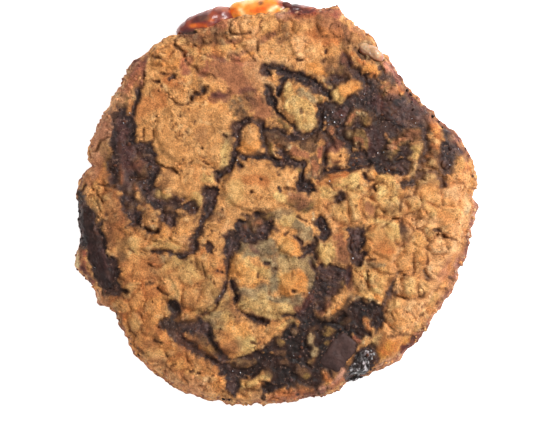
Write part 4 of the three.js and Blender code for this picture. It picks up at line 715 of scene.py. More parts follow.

# Cracks: half width and depth, then their lines; they are also painted dark, a painted shade, and some stand
# for the shadow under an edge
cracks = {
    (0.35, 1.1): [[(-23.5, 25.4), (-22.5, 26), (-22, 27)]],
    (0.35, 1): [[(-31.5, 10.5), (-30.5, 9.5), (-29, 8.9), (-27.5, 8.5), (-26.2, 7.6)],
        [(-19, 10.1), (-17.8, 9.4)]],
    (0.3, 1.1): [[(-21.5, 28.2), (-21.1, 28.5)]],
    (0.3, 0.9): [[(-25.5, 43.2), (-26.6, 42), (-26.8, 40.8), (-25.8, 39.8), (-24.8, 39), (-24.4, 38)],
        [(-12.3, 46.3), (-12.4, 44.8), (-12, 43.4), (-9, 43.6), (-7, 43.7)],
        [(-44, 16.8), (-45.5, 16), (-46.3, 14.8), (-47, 13.2), (-48, 13)],
        [(-46, 4.6), (-44.8, 4.2), (-43.5, 4.3), (-42.3, 4)], [(31.8, 0.2), (31.7, -2.6)]],
    (0.3, 0.8): [[(-13, 46.6), (-10.8, 48)], [(19.3, 44), (19, 42.5), (18.3, 41)],
        [(-31, -22.5), (-30, -23.3), (-28.4, -24)], [(1.8, 3.4), (4.5, 3.3)],
        [(22.8, -7.8), (23.6, -6.9), (24.6, -6.2)], [(27.4, -6.9), (28.5, -5.9), (30, -4.7), (31.9, -4.4)],
        [(33, -3.8), (34, -3.2), (35, -2.9)], [(30.5, -24.5), (33, -24.8), (35.5, -25.2), (38, -24.5)],
        [(23.4, -17.8), (23.7, -20.8)], [(28.8, -35.2), (32, -34.5), (35.5, -35)]],
    (0.3, 0.7): [[(-34.6, 33.6), (-34.6, 31), (-35.2, 29.6)], [(32.3, -4), (32.5, -6.5)],
        [(43, -8.7), (44, -9.2), (45.5, -9.5), (47, -10)], [(-8.8, -48.6), (-5.8, -48.9), (-3, -48.3)]],
    (0.25, 1): [[(-19.2, 27.9), (-19, 29.2)]],
    (0.25, 0.9): [[(-25.3, 25.1), (-24.3, 25.1)]],
    (0.25, 0.8): [[(-22.7, 9.8), (-22, 10.2)], [(-29, 27.2), (-27.3, 27), (-26.5, 25.9), (-25.5, 25.2)],
        [(-34.5, 18.9), (-34.4, 16)]],
    (0.25, 0.7): [[(-32.2, 38.1), (-31.3, 37.2), (-30, 37.2), (-29.3, 36.3)],
        [(-23.5, 35.9), (-22, 35.1), (-21, 34.8), (-20.2, 33.3), (-18.5, 33), (-16.3, 32.5)],
        [(-5, 41.5), (-4.9, 38.5)], [(-32, 18.4), (-31.8, 16.5), (-32.3, 15.2)],
        [(-33.3, -16), (-31.8, -17), (-30, -16.6), (-28.8, -15.4)],
        [(-30.3, 33.2), (-28.8, 33), (-26.2, 33)]],
    (0.25, 0.6): [[(-34.2, 31.3), (-32, 31.2), (-30.6, 31)], [(-9, 40), (-5.8, 36.4), (-11.5, 36.5)],
        [(-46.7, 3), (-46.3, 0), (-46, -2.5)], [(-43.3, 3), (-43.2, 1.3)], [(25.5, -0.5), (25.5, -5)]],
    (0.25, 0.5): [[(10.3, 46), (10.6, 44.3), (11.2, 42.9), (12.8, 42.6), (15.5, 42.7)],
        [(-45.3, 2), (-45.2, -0.5)]],
    (0.22, 0.45): [[(-0.9, -9.7), (0.2, -11), (0.9, -12.7), (2.2, -13.3)]],
    (0.2, 0.7): [[(-17.9, 29.8)]],
    (0.2, 0.6): [[(-36.5, -12.4), (-35, -12), (-34, -12.7), (-33.4, -13.2)],
        [(-19.4, -15.5), (-19, -17.5), (-18.5, -19), (-18.2, -19.8)], [(20.3, 3.3), (21, 4.1)],
        [(29.5, -29), (29.8, -30), (30.3, -30.8)]],
    (0.2, 0.5): [[(-3.2, 3.2), (-2.3, 2.7)], [(36, -4.6), (35.8, -6.5), (36.6, -7.5), (37.5, -7.6)],
        [(43.5, -1.8), (45, -1.6), (45.6, -2.6)], [(3.8, -18.6), (3.8, -20)],
        [(-2.2, -22), (-1.8, -22.7), (-2.2, -23.7)], [(40.3, -18.2), (42.2, -19.3)]],
    (0.2, 0.4): [[(-24, -18), (-22.5, -18), (-22, -18.4)], [(22.5, 0.4), (22.2, -2.6), (23.2, -4.5)]],
    (0.2, 0.35): [[(1, -23.6), (3, -24.6), (6, -24.3)]],
    (0.15, 0.4): [[(-36, 23.3), (-34.9, 22.5)], [(7, 23), (10, 22.4)]],
}

# Where the crust is broken into larger lumps: half width, line
lumpyPlaces = [
    (10, [(40, 3), (38, -12), (33, -27)]), (6, [(26, 1), (17, -2)]), (6, [(27, -11), (24, -20)]),
    (6, [(-39, -22), (-37, -34), (-27, -42)]), (3.6, [(-30, 37), (-14, 42), (0, 46), (10, 46)]),
    (4, [(-47, 12), (-46, 2)]), (5, [(-20, -17), (-24, -26)]), (4, [(-38, -9), (-26, -9)]),
    (4, [(-16, -47), (0, -50)]),
]

# Where the crust is smooth instead of crumbly: half width, line
smoothPlaces = [
    (3, [(-29.3, 17), (-28.5, 13.5)]), (2.6, [(-12, 34), (-5, 34)]), (2, [(-11, 31), (-5, 31)]),
    (2.4, [(-47, 18), (-46, 8)]), (1.8, [(42, -4.5), (44.5, -4)]), (1.4, [(24.1, -1.7), (24.1, -3)]),
    (1.8, [(34, -8.4)]), (1.8, [(46.5, -13.5), (44, -18)]), (2.5, [(28, -37.5), (32, -36)]),
    (2, [(3.2, -20.6), (5.7, -21)]), (1.5, [(2.4, -10.7), (4.2, -12)]), (1.5, [(41, -21), (42, -19.5)]),
    (1.4, [(-35, -15), (-34.6, -18)]), (1.5, [(9, 34.8), (12, 34.2)]), (1.8, [(38, 2.5), (40, 3.5)]),
    (1.6, [(17, -37.5), (15, -41)]), (2, [(-13, -36.3), (-9, -36.8)]), (1.5, [(-5, 24), (-3, 22)]),
    (3.6, [(-8, 7), (-3, 6.6)]), (2.2, [(-11, 3.4), (-9.5, 1)]), (1.8, [(-7.4, 14.6), (-6.8, 16)]),
    (3, [(27.6, -10), (28.4, -13.6)]), (1.2, [(15.3, 27.1), (17.3, 29.4), (19.9, 29.8)]),
]

# Two shades of each paint, mottled together
paints = {
    "gold": ("#E2A466", "#CD8D52"), "orange": ("#E9A05A", "#D68A46"), "toast": ("#C97C44", "#B46A3A"),
    "yellow": ("#E2B774", "#CFA060"), "pale": ("#E6CB9B", "#D3B284"), "creamAndHighlight": ("#F2DFB8", "#E2C89A"),
    "olive": ("#94713F", "#6C4F32"), "grey": ("#AE9066", "#86694A"), "tan": ("#B4744E", "#9C6242"),
    "pink": ("#CC9478", "#B27A60"), "rust": ("#B46A4C", "#965440"), "maroon": ("#6A3A34", "#4E2A2A"),
    "brown": ("#7C5236", "#5E3C28"), "glaze": ("#D48E40", "#C46E34"), "chocolate": ("#36211B", "#4E342D"),
    "redBrown": ("#623C2C", "#4A2C24"), "black": ("#1C1110", "#261816"), "syrup": ("#F07A24", "#D8581C"),
    "amber": ("#F8A64C", "#EE8A32"), "soaked": ("#7A563A", "#553A2B"), "hollowShade": ("#5E3A22", "#4C2E1C"),
    "rim": ("#C88A70", "#96584A"), "block": ("#483430", "#523B36"), "peach": ("#F0B880", "#DF9E64"),
    "plum": ("#5E4440", "#503834"), "ember": ("#A04C34", "#743430"), "fudge": ("#1A0E0A", "#321B14"),
    "sugar": ("#FFFFFF", "#E2D2D6"), "bloomAndGlint": ("#A58C88", "#7C6460"),
}
darkPaints = ("maroon", "brown", "plum", "black", "glaze")  # washes of these cover most
overChocolate = ("maroon", "brown", "plum", "black", "soaked", "fudge")  # not laid under it too
stains = ("maroon", "brown", "grey", "black")  # washes that also lie on the pieces of chocolate
washEdge = {"creamAndHighlight": 0.8, "maroon": 1.0, "rust": 1.2}  # how soft their edge is, in millimetres
otherEdge = 1.6    # the same for all others
washCover = 0.45   # how much a light wash covers
offMelt = {"dark": 0.3, "light": 0.8}  # how much of a wash the melted chocolate keeps off

# Relief in millimetres: how wide it is, and how deep
crustRelief = {
    "lump": 4.8, "lumpDepth": 1.1,    # where the crust is broken into larger lumps
    "crumb": 1.5, "crumbDepth": 0.16, "leastCrumb": 0.06,
    "grain": 0.8, "grainDepth": 0.19,
    "hole": 0.65, "holeDepth": 0.35,
}
meltRelief = {"swell": 2.0, "swellDepth": 0.35, "ripple": 0.95, "rippleDepth": 0.37}


def srgb(code):
    return np.array([int(code[k:k + 2], 16) / 255 for k in (1, 3, 5)])


def toLinear(rgb):
    return np.where(rgb <= 0.04045, rgb / 12.92, ((rgb + 0.055) / 1.055) ** 2.4)


def unrolled(x, y, z):  # places for patterns, which run on down the wall instead of stretching there
    out = 1 + np.maximum(0, dough["rimHeight"] - z) / np.maximum(1, np.hypot(x, y))
    return x * out, y * out


class Surface:  # points seen from above, with what has been painted on them so far
    def __init__(self, x, y, z, base):
        self.x, self.y = x, y
        wx, wy = wander(x, y, 0.65, 3.1, 11)
        wx, wy = wander(wx, wy, 0.45, 1.25, 13)
        wx, wy = wander(wx, wy, 0.25, 0.6, 15)
        self.wx, self.wy = wx, wy
        self.swell = layered(x, y, 2.2, 17, 2)
        self.mottle = ease(0.5 + 1.1 * layered(*unrolled(x, y, z), 1.5, 19))
        self.rgb = self.shade(base, slice(None))

    def shade(self, paint, i):
        first, second = (srgb(code) for code in paints[paint])
        return first + (second - first) * self.mottle[i][:, None]

    def inside(self, half, path):  # how far inside the stroke the points near it are
        px, py = zip(*path)
        reach = half * 1.4 + 2.8
        i = np.flatnonzero((self.x > min(px) - reach) & (self.x < max(px) + reach)
                           & (self.y > min(py) - reach) & (self.y < max(py) + reach))
        crooked = min(1, max(0.3, half / 1.4))
        x = self.x[i] + crooked * (self.wx[i] - self.x[i])
        y = self.y[i] + crooked * (self.wy[i] - self.y[i])
        return i, half * (1 + 0.3 * self.swell[i]) - distanceToPath(x, y, path)

    def paint(self, paint, share, i=slice(None)):
        share = share[:, None]
        self.rgb[i] = self.rgb[i] * (1 - share) + self.shade(paint, i) * share


def plateLift(x, y):
    wx, wy = wander(x, y, 0.8, 5, 21)
    wx, wy = wander(wx, wy, 0.35, 1.4, 23)
    lift = 0
    for cx, cy, a, b, rise in plates:
        across = np.hypot((wx - cx) / a, (wy - cy) / b)
        lift = lift + rise * ease((1 - across) * min(a, b) / dough["plateEdge"])
    return lift


def paintChocolate(top, share):
    # melted and set again: dark and purple-brown, with red-brown patches and crumbs soaked in it
    x, y = top.x, top.y
    top.paint("chocolate", share)
    top.paint("redBrown", 0.7 * share * ease(0.35 + 2.4 * layered(x, y, 2.8, 121)))
    top.paint("plum", 0.6 * share * ease(0.3 + 2 * layered(x, y, 4.2, 137, 2)))
    patchy = ease(0.5 + 1.6 * layered(x, y, 5, 129, 2))
    soakedIn = ease((layered(top.wx, top.wy, 1.3, 125) - 0.2) / 0.2) * patchy
    top.paint("soaked", 0.75 * share * soakedIn)
    top.paint("black", 0.75 * share * ease((layered(x, y, 1.3, 127) - 0.1) / 0.3))
    # light flecks: bloom on the set chocolate, and painted glints
    top.paint("bloomAndGlint", 0.45 * share * ease((layered(x, y, 0.75, 159, 2) - 0.38) / 0.15))
    return soakedIn


def paintSoaked(top, i, share):  # crumbs with chocolate soaked in between them
    x, y = top.x[i], top.y[i]
    dark = ease((layered(x, y, 1.2, 131) - 0.05) / 0.3)
    light = ease((layered(x, y, 1.6, 133) - 0.2) / 0.25)
    top.paint("soaked", share, i)
    top.paint("chocolate", 0.75 * share * dark, i)
    top.paint("olive", 0.6 * share * light * (1 - dark), i)


def spread(top, strokes, softness, middle):  # 1 in the strokes, fading to 0 over so many millimetres
    field = np.zeros(len(top.x))
    for width, path in strokes:
        i, inside = top.inside(width, path)
        field[i] = np.maximum(field[i], ease(middle + inside / softness))
    return field


def paintTop(x, y, height):
    top = Surface(x, y, height, "gold")
    half = dough["crustLift"] / 2
    field = np.full(len(x), -4.0)  # millimetres inside the chocolate's edge
    bank = np.zeros(len(x))        # 1 beside a piece of chocolate, where the melt stands higher
    for width, path in pools:
        i, inside = top.inside(width, path)
        field[i] = np.maximum(field[i], inside)
    for chunk in chunks:
        i, inside = top.inside(chunk["half"] + chunk.get("melt", 0.2), chunk["path"])
        field[i] = np.maximum(field[i], np.minimum(inside, 0.8))
        bank[i] = np.maximum(bank[i], ease(1 + inside / 1.5))
    ragged = layered(x, y, 1.5, 101)
    top.rise = half + plateLift(x, y)
    for paint, strength, width, path in washes:  # once under the chocolate, for the crust beside it
        if paint not in overChocolate:
            i, inside = top.inside(width, path)
            top.paint(paint, strength * ease(0.5 + inside / washEdge.get(paint, otherEdge)), i)
    # a soaked band beside the chocolate, a ragged edge, and shadow along the banks
    top.paint("soaked", 0.75 * ease((field + ragged * 1.9 + 1.4) / 1.8))
    solid = ease(0.5 + (field + 0.8 * ragged) / 0.65)
    soakedCrumbs = paintChocolate(top, solid)
    shade = ease(1.2 - np.abs(field - 0.5) / 0.9) * ease(0.6 + 1.5 * layered(x, y, 2.6, 135, 2))
    top.paint("black", 0.65 * shade * solid)
    bed = dough["meltHeight"] + 0.25 * bank + 0.3 * soakedCrumbs
    top.rise = mix(top.rise, bed, ease(0.5 + field / dough["crustEdge"]))
    for paint, lift, width, path in lumps:
        i, inside = top.inside(width, path)
        covered = solid[i]
        edge = inside + 0.6 * ragged[i]
        top.paint("soaked", 0.8 * covered * ease(1.1 + edge / 1.1), i)  # about a millimetre round them
        share = ease(0.4 + edge / (0.75 + 0.35 * covered))
        bulge = clamp(inside / width)
        top.paint(paint, share * (1 - 0.35 * covered * (1 - bulge)), i)
        rise = half - 0.6 + 0.7 * lift + 0.3 * min(width, 2.2) * (bulge * (2 - bulge) - 0.6)
        slope = ease(0.5 + inside / mix(1.5 - 0.8 * min(1, lift), 1.5, covered))
        top.rise[i] = mix(top.rise[i], mix(top.rise[i] + 0.5 * lift, rise, covered), slope)
        field[i] = np.minimum(field[i], mix(field[i], -1.5, share))
        solid[i] = solid[i] * (1 - share)
    for paint, strength, width, path in washes:
        i, inside = top.inside(width, path)
        share = strength * ease(0.5 + inside / washEdge.get(paint, otherEdge))
        if paint == "soaked":
            paintSoaked(top, i, share * (1 - solid[i]))
        elif paint == "fudge":  # darkens the melt alone
            top.paint(paint, share * solid[i], i)
        elif paint in darkPaints:
            top.paint(paint, share * (1 - offMelt["dark"] * solid[i]), i)
        else:
            top.paint(paint, washCover * share * (1 - offMelt["light"] * solid[i]), i)
    for width, paths in specks.items():  # the wide ones are painted as chocolate, real bits of it and painted shadows alike; the fine ones are pores in a painted shade
        for path in paths:
            i, inside = top.inside(width, path)
            share = ease(0.5 + (inside + 0.3 * ragged[i]) / 0.4)
            top.paint("hollowShade" if width < 0.45 else "chocolate", 0.9 * share, i)
            top.rise[i] -= 0.7 * share * min(1, width / 0.6)
            solid[i] = np.maximum(solid[i], share * min(0.6, width))
    top.crack = np.zeros(len(x))
    for (width, deep), paths in cracks.items():
        for path in paths:
            i, inside = top.inside(width, path)
            top.crack[i] = np.maximum(top.crack[i], deep * ease(0.5 + (inside + 0.3 * ragged[i]) / 0.6))
    top.smooth = spread(top, smoothPlaces, 1.6, 0.5)
    top.lumpy = spread(top, lumpyPlaces, 4, 0.3)
    top.solid = solid
    return top


def domeAt(x, y):  # mean height, share of the rim's rise, distance in from the outline
    angle = np.arctan2(y, x)
    inward = np.maximum(0, radiusAt(angle) - np.hypot(x, y))
    skirt = skirtAt(angle)
    rounding = 1 - clamp((inward - skirt) / dough["rimRound"])
    rise = np.sqrt(1 - rounding * rounding)
    foot = dough["footHeight"] + dough["skirtRise"] * clamp(inward / (skirt + 0.5))
    crown = dough["crownRise"] * (1 - np.exp(-inward / dough["crownReach"]))
    return mix(foot, dough["rimHeight"], rise) + crown, rise, inward


def chocolateRelief(x, y):
    swell = meltRelief["swellDepth"] * layered(x, y, meltRelief["swell"], 65)
    return swell + meltRelief["rippleDepth"] * layered(x, y, meltRelief["ripple"], 67)


def shapeTop(x, y):  # the finished top with its heights, colours and gloss
    height, rise, inward = domeAt(x, y)
    top = paintTop(x, y, height)
    u, v = unrolled(x, y, height)
    size = crustRelief
    dry = 1 - top.solid
    rough = 1 - 0.75 * top.smooth  # a quarter of the relief is left where the crust is smooth
    knobs = dough["knobRise"] * (0.5 - cellDistances(x / dough["knobSize"], y / dough["knobSize"], 31)[0])
    gx, gy = wander(u, v, 1.3, 4.4, 51)
    gx, gy = wander(gx, gy, 0.35, 1.1, 52)
    large, largeGap, own = lumpRelief(gx, gy, size["lump"], 53)
    small, smallGap, ownSmall = lumpRelief(gx, gy, size["crumb"], 55)
    lumpy = top.lumpy * rough
    mealy = rough * ease(0.5 + 1.4 * layered(u, v, 4, 58, 2))
    grain = layered(u, v, size["grain"], 57)
    holes = ease((layered(u, v, size["hole"], 61, 2) - 0.42) / 0.15) * rough
    holes = holes * ease(0.5 + 1.5 * layered(u, v, 3.5, 63, 2))
    broken = mealy * ease(0.5 + 2 * layered(u, v, 3, 59, 2))  # where the small lumps have come apart
    crumbly = size["leastCrumb"] + size["crumbDepth"] * mealy * (0.4 + 0.6 * lumpy)
    fine = size["lumpDepth"] * lumpy * (large - 0.6) + crumbly * (small - 0.6)
    fine = fine + size["grainDepth"] * grain * rough - size["holeDepth"] * holes - top.crack
    relief = top.rise + dry * knobs + (1 - dry) * chocolateRelief(x, y)
    low = dough["footHeight"] + dough["minSkin"] * clamp(inward)
    z = np.maximum(low, height + relief * rise) + dry * fine * (0.4 + 0.6 * rise) * clamp(inward / 0.5)
    # every lump is baked a little differently; brown in the gaps and dark in holes, cracks and creases, both
    # painted shade; red-brown at the rim
    top.paint("orange", 0.55 * dry * lumpy * ease((own - 0.6) / 0.2) * large)
    top.paint("yellow", 0.5 * dry * lumpy * ease((0.45 - own) / 0.2) * large)
    top.paint("toast", 0.25 * dry * ease((ownSmall - 0.7) / 0.1) * mealy * small)
    top.paint("pale", 0.3 * dry * ease((0.3 - ownSmall) / 0.1) * mealy * small)
    # painted shade: toast-brown down in the gaps between the larger lumps
    top.paint("toast", 0.35 * dry * lumpy * (1 - large))
    # painted shade, dark brown, in holes, cracks, creases and between broken crumbs
    creases = lumpy * ease(1.8 * largeGap - 0.7) * ease(0.35 + 1.9 * layered(u, v, 3.2, 69, 2))
    hollowShade = clamp(0.7 * holes + 1.1 * top.crack + 0.5 * creases + 0.4 * broken * smallGap)
    top.paint("hollowShade", 0.7 * hollowShade * dry)
    width = 0.6 + 0.3 * skirtAt(np.arctan2(y, x))  # of the darker rim, wider where the skirt is
    rim = ease(0.9 - inward / width + 0.9 * layered(x, y, 1.1, 95))
    top.paint("rim", 0.7 * rim * (0.4 + 0.6 * dry))
    edge = ease(1.8 - inward / 1.2)
    top.paint("maroon", 0.6 * edge * dry * ease((layered(x, y, 0.8, 97, 2) - 0.3) / 0.2))
    top.paint("creamAndHighlight", 0.5 * edge * ease((layered(x, y, 0.7, 99, 2) - 0.4) / 0.15))
    top.rgb *= (1 + (0.08 + 0.1 * rough) * grain)[:, None]
    top.pepper = rough * ease(0.6 + 1.7 * layered(u, v, 4.5, 71))
    return z, top


# Rings of points joined by strips of triangles, as in the solid but finer
# share: of the outline; rim: how far across the rim; inset: further in, in mm
def makeRing(points, share, rim, inset, height, count, phase):
    angle = (np.arange(count) + phase) / count * 2 * np.pi
    r = share * (radiusAt(angle) - rim * (skirtAt(angle) + dough["rimRound"]) - inset)
    first = sum(len(p) for p in points)
    points.append(np.stack([r * np.cos(angle), r * np.sin(angle), np.full(count, float(height))], 1))
    return angle, np.arange(first, first + count)


def joinRings(faces, first, second):
    (angleA, indexA), (angleB, indexB) = first, second
    nA, nB = len(indexA), len(indexB)
    nextA = np.append(angleA[1:], angleA[0] + 2 * np.pi)
    nextB = np.append(angleB[1:], angleB[0] + 2 * np.pi)
    order = np.argsort(np.concatenate([nextA, nextB]), kind="stable")
    isA = order < nA
    a = np.cumsum(isA) - isA
    b = np.cumsum(~isA) - ~isA
    here = np.where(isA, indexA[a % nA], indexB[b % nB])
    after = np.where(isA, indexA[(a + 1) % nA], indexB[(b + 1) % nB])
    other = np.where(isA, indexB[b % nB], indexA[a % nA])
    strip = np.stack([here, after, other], 1)
    strip[~isA] = strip[~isA][:, [1, 0, 2]]
    faces.append(strip)


def makeMesh(name, points, faces):
    mesh = bpy.data.meshes.new(name)
    mesh.vertices.add(len(points))
    mesh.vertices.foreach_set("co", (points * mm).astype(np.float32).ravel())
    mesh.loops.add(len(faces) * 3)
    mesh.loops.foreach_set("vertex_index", faces.astype(np.int32).ravel())
    mesh.polygons.add(len(faces))
    mesh.polygons.foreach_set("loop_start", np.arange(0, len(faces) * 3, 3, dtype=np.int32))
    mesh.polygons.foreach_set("use_smooth", np.ones(len(faces), bool))
    mesh.update(calc_edges=True)
    mesh.validate()
    piece = bpy.data.objects.new(name, mesh)
    bpy.context.scene.collection.objects.link(piece)
    return piece


def setPaint(piece, rgb):  # sRGB colours of the points, stored as linear ones
    attribute = piece.data.attributes.new("paint", "FLOAT_COLOR", "POINT")
    linear = np.concatenate([toLinear(np.clip(rgb, 0, 1)), np.ones((len(rgb), 1))], 1)
    attribute.data.foreach_set("color", linear.astype(np.float32).ravel())


def setField(piece, name, values):
    attribute = piece.data.attributes.new(name, "FLOAT", "POINT")
    attribute.data.foreach_set("value", np.asarray(values, np.float32))


# Pieces of chocolate, the same as the solids. half: half width; proud: how far they stand above the
# crust's dome; thick: from top to bottom; blunt: how square; rough: dents in their sides; melt: ring of
# chocolate round them; cover: crust over their edge; path: places their middle line runs through
chunks = [
    {"name": "chocolate_left", "half": 2.5, "proud": -0.1, "thick": 3, "blunt": 3.6,
     "path": [(-41, 22), (-40.3, 15), (-39.4, 8)]},
    {"name": "chocolate_left_edge", "long": True, "half": 2.9, "proud": 0.4, "thick": 4.4,
     "cover": [("toast", 0.95, 1.5, [(-46.9, 2), (-46.2, -2.5)]),
               ("orange", 0.9, 1.2, [(-48.2, 1.6), (-47.4, -0.4)])],
     "path": [(-50, -1.5), (-48.6, -7.5), (-46.8, -13), (-44.9, -18), (-44.2, -21.5)]},
    {"name": "chocolate_lower", "half": 3.3, "proud": 0.5, "thick": 3.8, "blunt": 4.5, "rough": 0.25,
     "paint": "block", "path": [(14.9, -41), (17.3, -37.6)]},
    {"name": "chocolate_lower_edge", "half": 2.7, "proud": 0.5, "thick": 4, "paint": "fudge",
     "path": [(19.4, -44.7), (21.9, -42.9), (23, -40.2)]},
    {"name": "chocolate_upper_right", "half": 3.6, "proud": 0, "thick": 3.4, "blunt": 4,
     "path": [(27.2, 26.2), (31.3, 23.9), (35.2, 22)]},
    {"name": "chocolate_right", "half": 2.3, "proud": 0.1, "thick": 3,
     "path": [(43.6, 10.4), (45.3, 13.2)]},
    {"name": "chocolate_right_inner", "half": 1.9, "proud": -0.1, "thick": 2.6,
     "path": [(27.3, 9.6), (30, 9), (33, 9.4)]},
    {"name": "chocolate_middle", "half": 1.8, "proud": -0.1, "thick": 2.6, "melt": -0.5,
     "path": [(11.4, -4.8), (11.9, -8)]},
    {"name": "chocolate_middle_right", "half": 1.9, "proud": -0.1, "thick": 2.6, "melt": -0.5,
     "path": [(20.1, -8.2), (20.5, -12.6)]},
    {"name": "chocolate_upper", "half": 2.2, "proud": 0, "thick": 2.8,
     "path": [(15.4, 22), (17, 23.4)]},
]
# Lobes of marshmallow and the nub; top: the height of their top
lobes = [
    {"name": "marshmallow_left", "paint": "ember", "half": 3.1, "top": 5.4, "thick": 9,
     "path": [(-23.2, 45), (-19, 46.8), (-14.4, 48.8)]},
    {"name": "marshmallow_middle", "paint": "amber", "half": 3.1, "top": 4.8, "thick": 8,
     "path": [(-9.6, 50), (-4, 50.5), (1.6, 50.3)]},
    {"name": "marshmallow_right", "paint": "ember", "half": 1.8, "top": 4.2, "thick": 7,
     "path": [(3, 50.1), (7, 49.9), (9.6, 49.3)]},
    {"name": "marshmallow_nub", "paint": "pink", "half": 1.6, "top": 6.5, "thick": 4.5,
     "path": [(22.7, 40.3), (26.3, 37.9)]},
]


def makeDough():
    s = dough["spacing"]
    points, faces, rings = [], [], []
    circle = 2 * math.pi * dough["meanRadius"]
    rimSteps = 20
    for k in range(rimSteps):  # the rim, with closer rings where it is steep
        q = k / rimSteps
        steep = 0.3 * q + 0.7 * q * q
        count = int(circle * (1 - steep * 0.1) / s)
        rings.append(makeRing(points, 1, steep, 0, 0, count, 0.5 * (k % 2)))
    innerSteps = int((dough["meanRadius"] - dough["rimRound"]) / (s * 0.93))
    for k in range(innerSteps):
        share = 1 - k / innerSteps
        count = max(6, int(circle * 0.9 * share / s))
        rings.append(makeRing(points, share, 1, 0, 0, count, 0.5 * (k % 2)))
    for first, second in zip(rings, rings[1:]):
        joinRings(faces, first, second)
    topCount = sum(len(p) for p in points)
    points.append(np.zeros((1, 3)))
    last = rings[-1][1]
    faces.append(np.stack([last, np.roll(last, -1), np.full(len(last), topCount)], 1))
    top = np.concatenate(points)
    z, surface = shapeTop(top[:, 0], top[:, 1])
    z[rings[0][1]] = dough["footHeight"]
    top[:, 2] = z
    points[:] = [top]
    under = rings[0]
    for inset, height, dense in [(0.12, 0.6, 0.8), (dough["footInset"], 0, 0.6)]:  # down to the foot
        ring = makeRing(points, 1, 0, inset, height, int(circle * dense / s), 0)
        joinRings(faces, ring, under)
        under = ring
    steps = int(dough["meanRadius"] / dough["underSpacing"])  # rings of the underside
    for k in range(1, steps):
        share = 1 - k / steps
        count = max(6, int(circle * share / dough["underSpacing"]))
        ring = makeRing(points, share, 0, dough["footInset"], 0, count, 0.5 * (k % 2))
        joinRings(faces, ring, under)
        under = ring
    whole = np.concatenate(points)
    faces.append(np.stack([np.roll(under[1], -1), under[1], np.full(len(under[1]), len(whole))], 1))
    whole = np.concatenate([whole, [[0, 0, 0]]])
    return whole, np.concatenate(faces), surface, len(top)


print("dough: shaping the top")
points, faces, doughTop, topCount = makeDough()
x, y, z = points.T
# pores in the underside, and a crumbly wall
isUnder = (z < 0.01) & (np.arange(len(points)) >= topCount)
deep = dough["meanRadius"] - 2 - np.hypot(x, y)  # the outer two millimetres stay flat
pores = pitDepth(x, y, 2.6, 0.5, 0.8, 81)
z = np.where(isUnder, clamp(deep) * (0.45 * pores + 0.12 * clamp(layered(x, y, 3, 83))), z)
angle, away = np.arctan2(y, x), np.maximum(1, np.hypot(x, y))
wall = ease((1.6 - (radiusAt(angle) - away)) / 1.2) * ease(z / 0.8)  # fades out above and at the foot
out = 1 + dough["wallDent"] * wall * layered(*unrolled(x, y, z), 1.7, 85) / away
x, y = x * out, y * out
points = np.stack([x, y, z], 1)
doughPiece = makeMesh("dough_crust", points, faces)
print("dough:", len(points), "points,", len(faces), "triangles")

rgb = np.tile(srgb("#A9713F"), (len(points), 1))  # the wall and underside are baked evenly brown, with painted shade in the pores of the underside
rgb *= (1 + 0.16 * layered(*unrolled(x, y, z), 2.5, 87) - 0.25 * isUnder * pores)[:, None]
rgb[:topCount] = doughTop.rgb
setPaint(doughPiece, rgb)
gloss = np.zeros(len(points))
gloss[:topCount] = doughTop.solid
setField(doughPiece, "gloss", gloss)
pepper = np.full(len(points), 0.6)
pepper[:topCount] = doughTop.pepper
setField(doughPiece, "pepper", pepper)
print("dough: painted")


def splinePoint(path, share, count=200):  # a smooth curve through the path, by its length
    pts = np.array([path[0], *path, path[-1]], float)
    pts[0], pts[-1] = 2 * pts[1] - pts[2], 2 * pts[-2] - pts[-3]
    dense = []
    for a, b, c, d in zip(pts, pts[1:], pts[2:], pts[3:]):
        t = np.linspace(0, 1, count, endpoint=False)[:, None]
        bend = (2 * a - 5 * b + 4 * c - d) * t ** 2 + (3 * b - a - 3 * c + d) * t ** 3
        dense.append(0.5 * (2 * b + (c - a) * t + bend))
    dense = np.concatenate([*dense, [path[-1]]])
    step = np.linalg.norm(np.diff(dense, axis=0), axis=1)
    run = np.append(0, np.cumsum(step))
    at = share * run[-1]
    place = np.stack([np.interp(at, run, dense[:, k]) for k in (0, 1)], 1)
    ahead = np.stack([np.interp(np.minimum(at + 0.05, run[-1]), run, dense[:, k]) for k in (0, 1)], 1)
    behind = np.stack([np.interp(np.maximum(at - 0.05, 0), run, dense[:, k]) for k in (0, 1)], 1)
    heading = ahead - behind
    return place, heading / np.linalg.norm(heading, axis=1)[:, None], run[-1]


def ballPoints(level):
    mesh = bpy.data.meshes.new("ball")
    bm = bmesh.new()
    bmesh.ops.create_icosphere(bm, subdivisions=level, radius=1)
    bm.to_mesh(mesh)
    bm.free()
    co = np.zeros(len(mesh.vertices) * 3)
    mesh.vertices.foreach_get("co", co)
    tri = np.zeros(len(mesh.polygons) * 3, np.int32)
    mesh.polygons.foreach_get("vertices", tri)
    bpy.data.meshes.remove(mesh)
    return co.reshape(-1, 3), tri.reshape(-1, 3)


ball, fineBall = ballPoints(5), ballPoints(6)


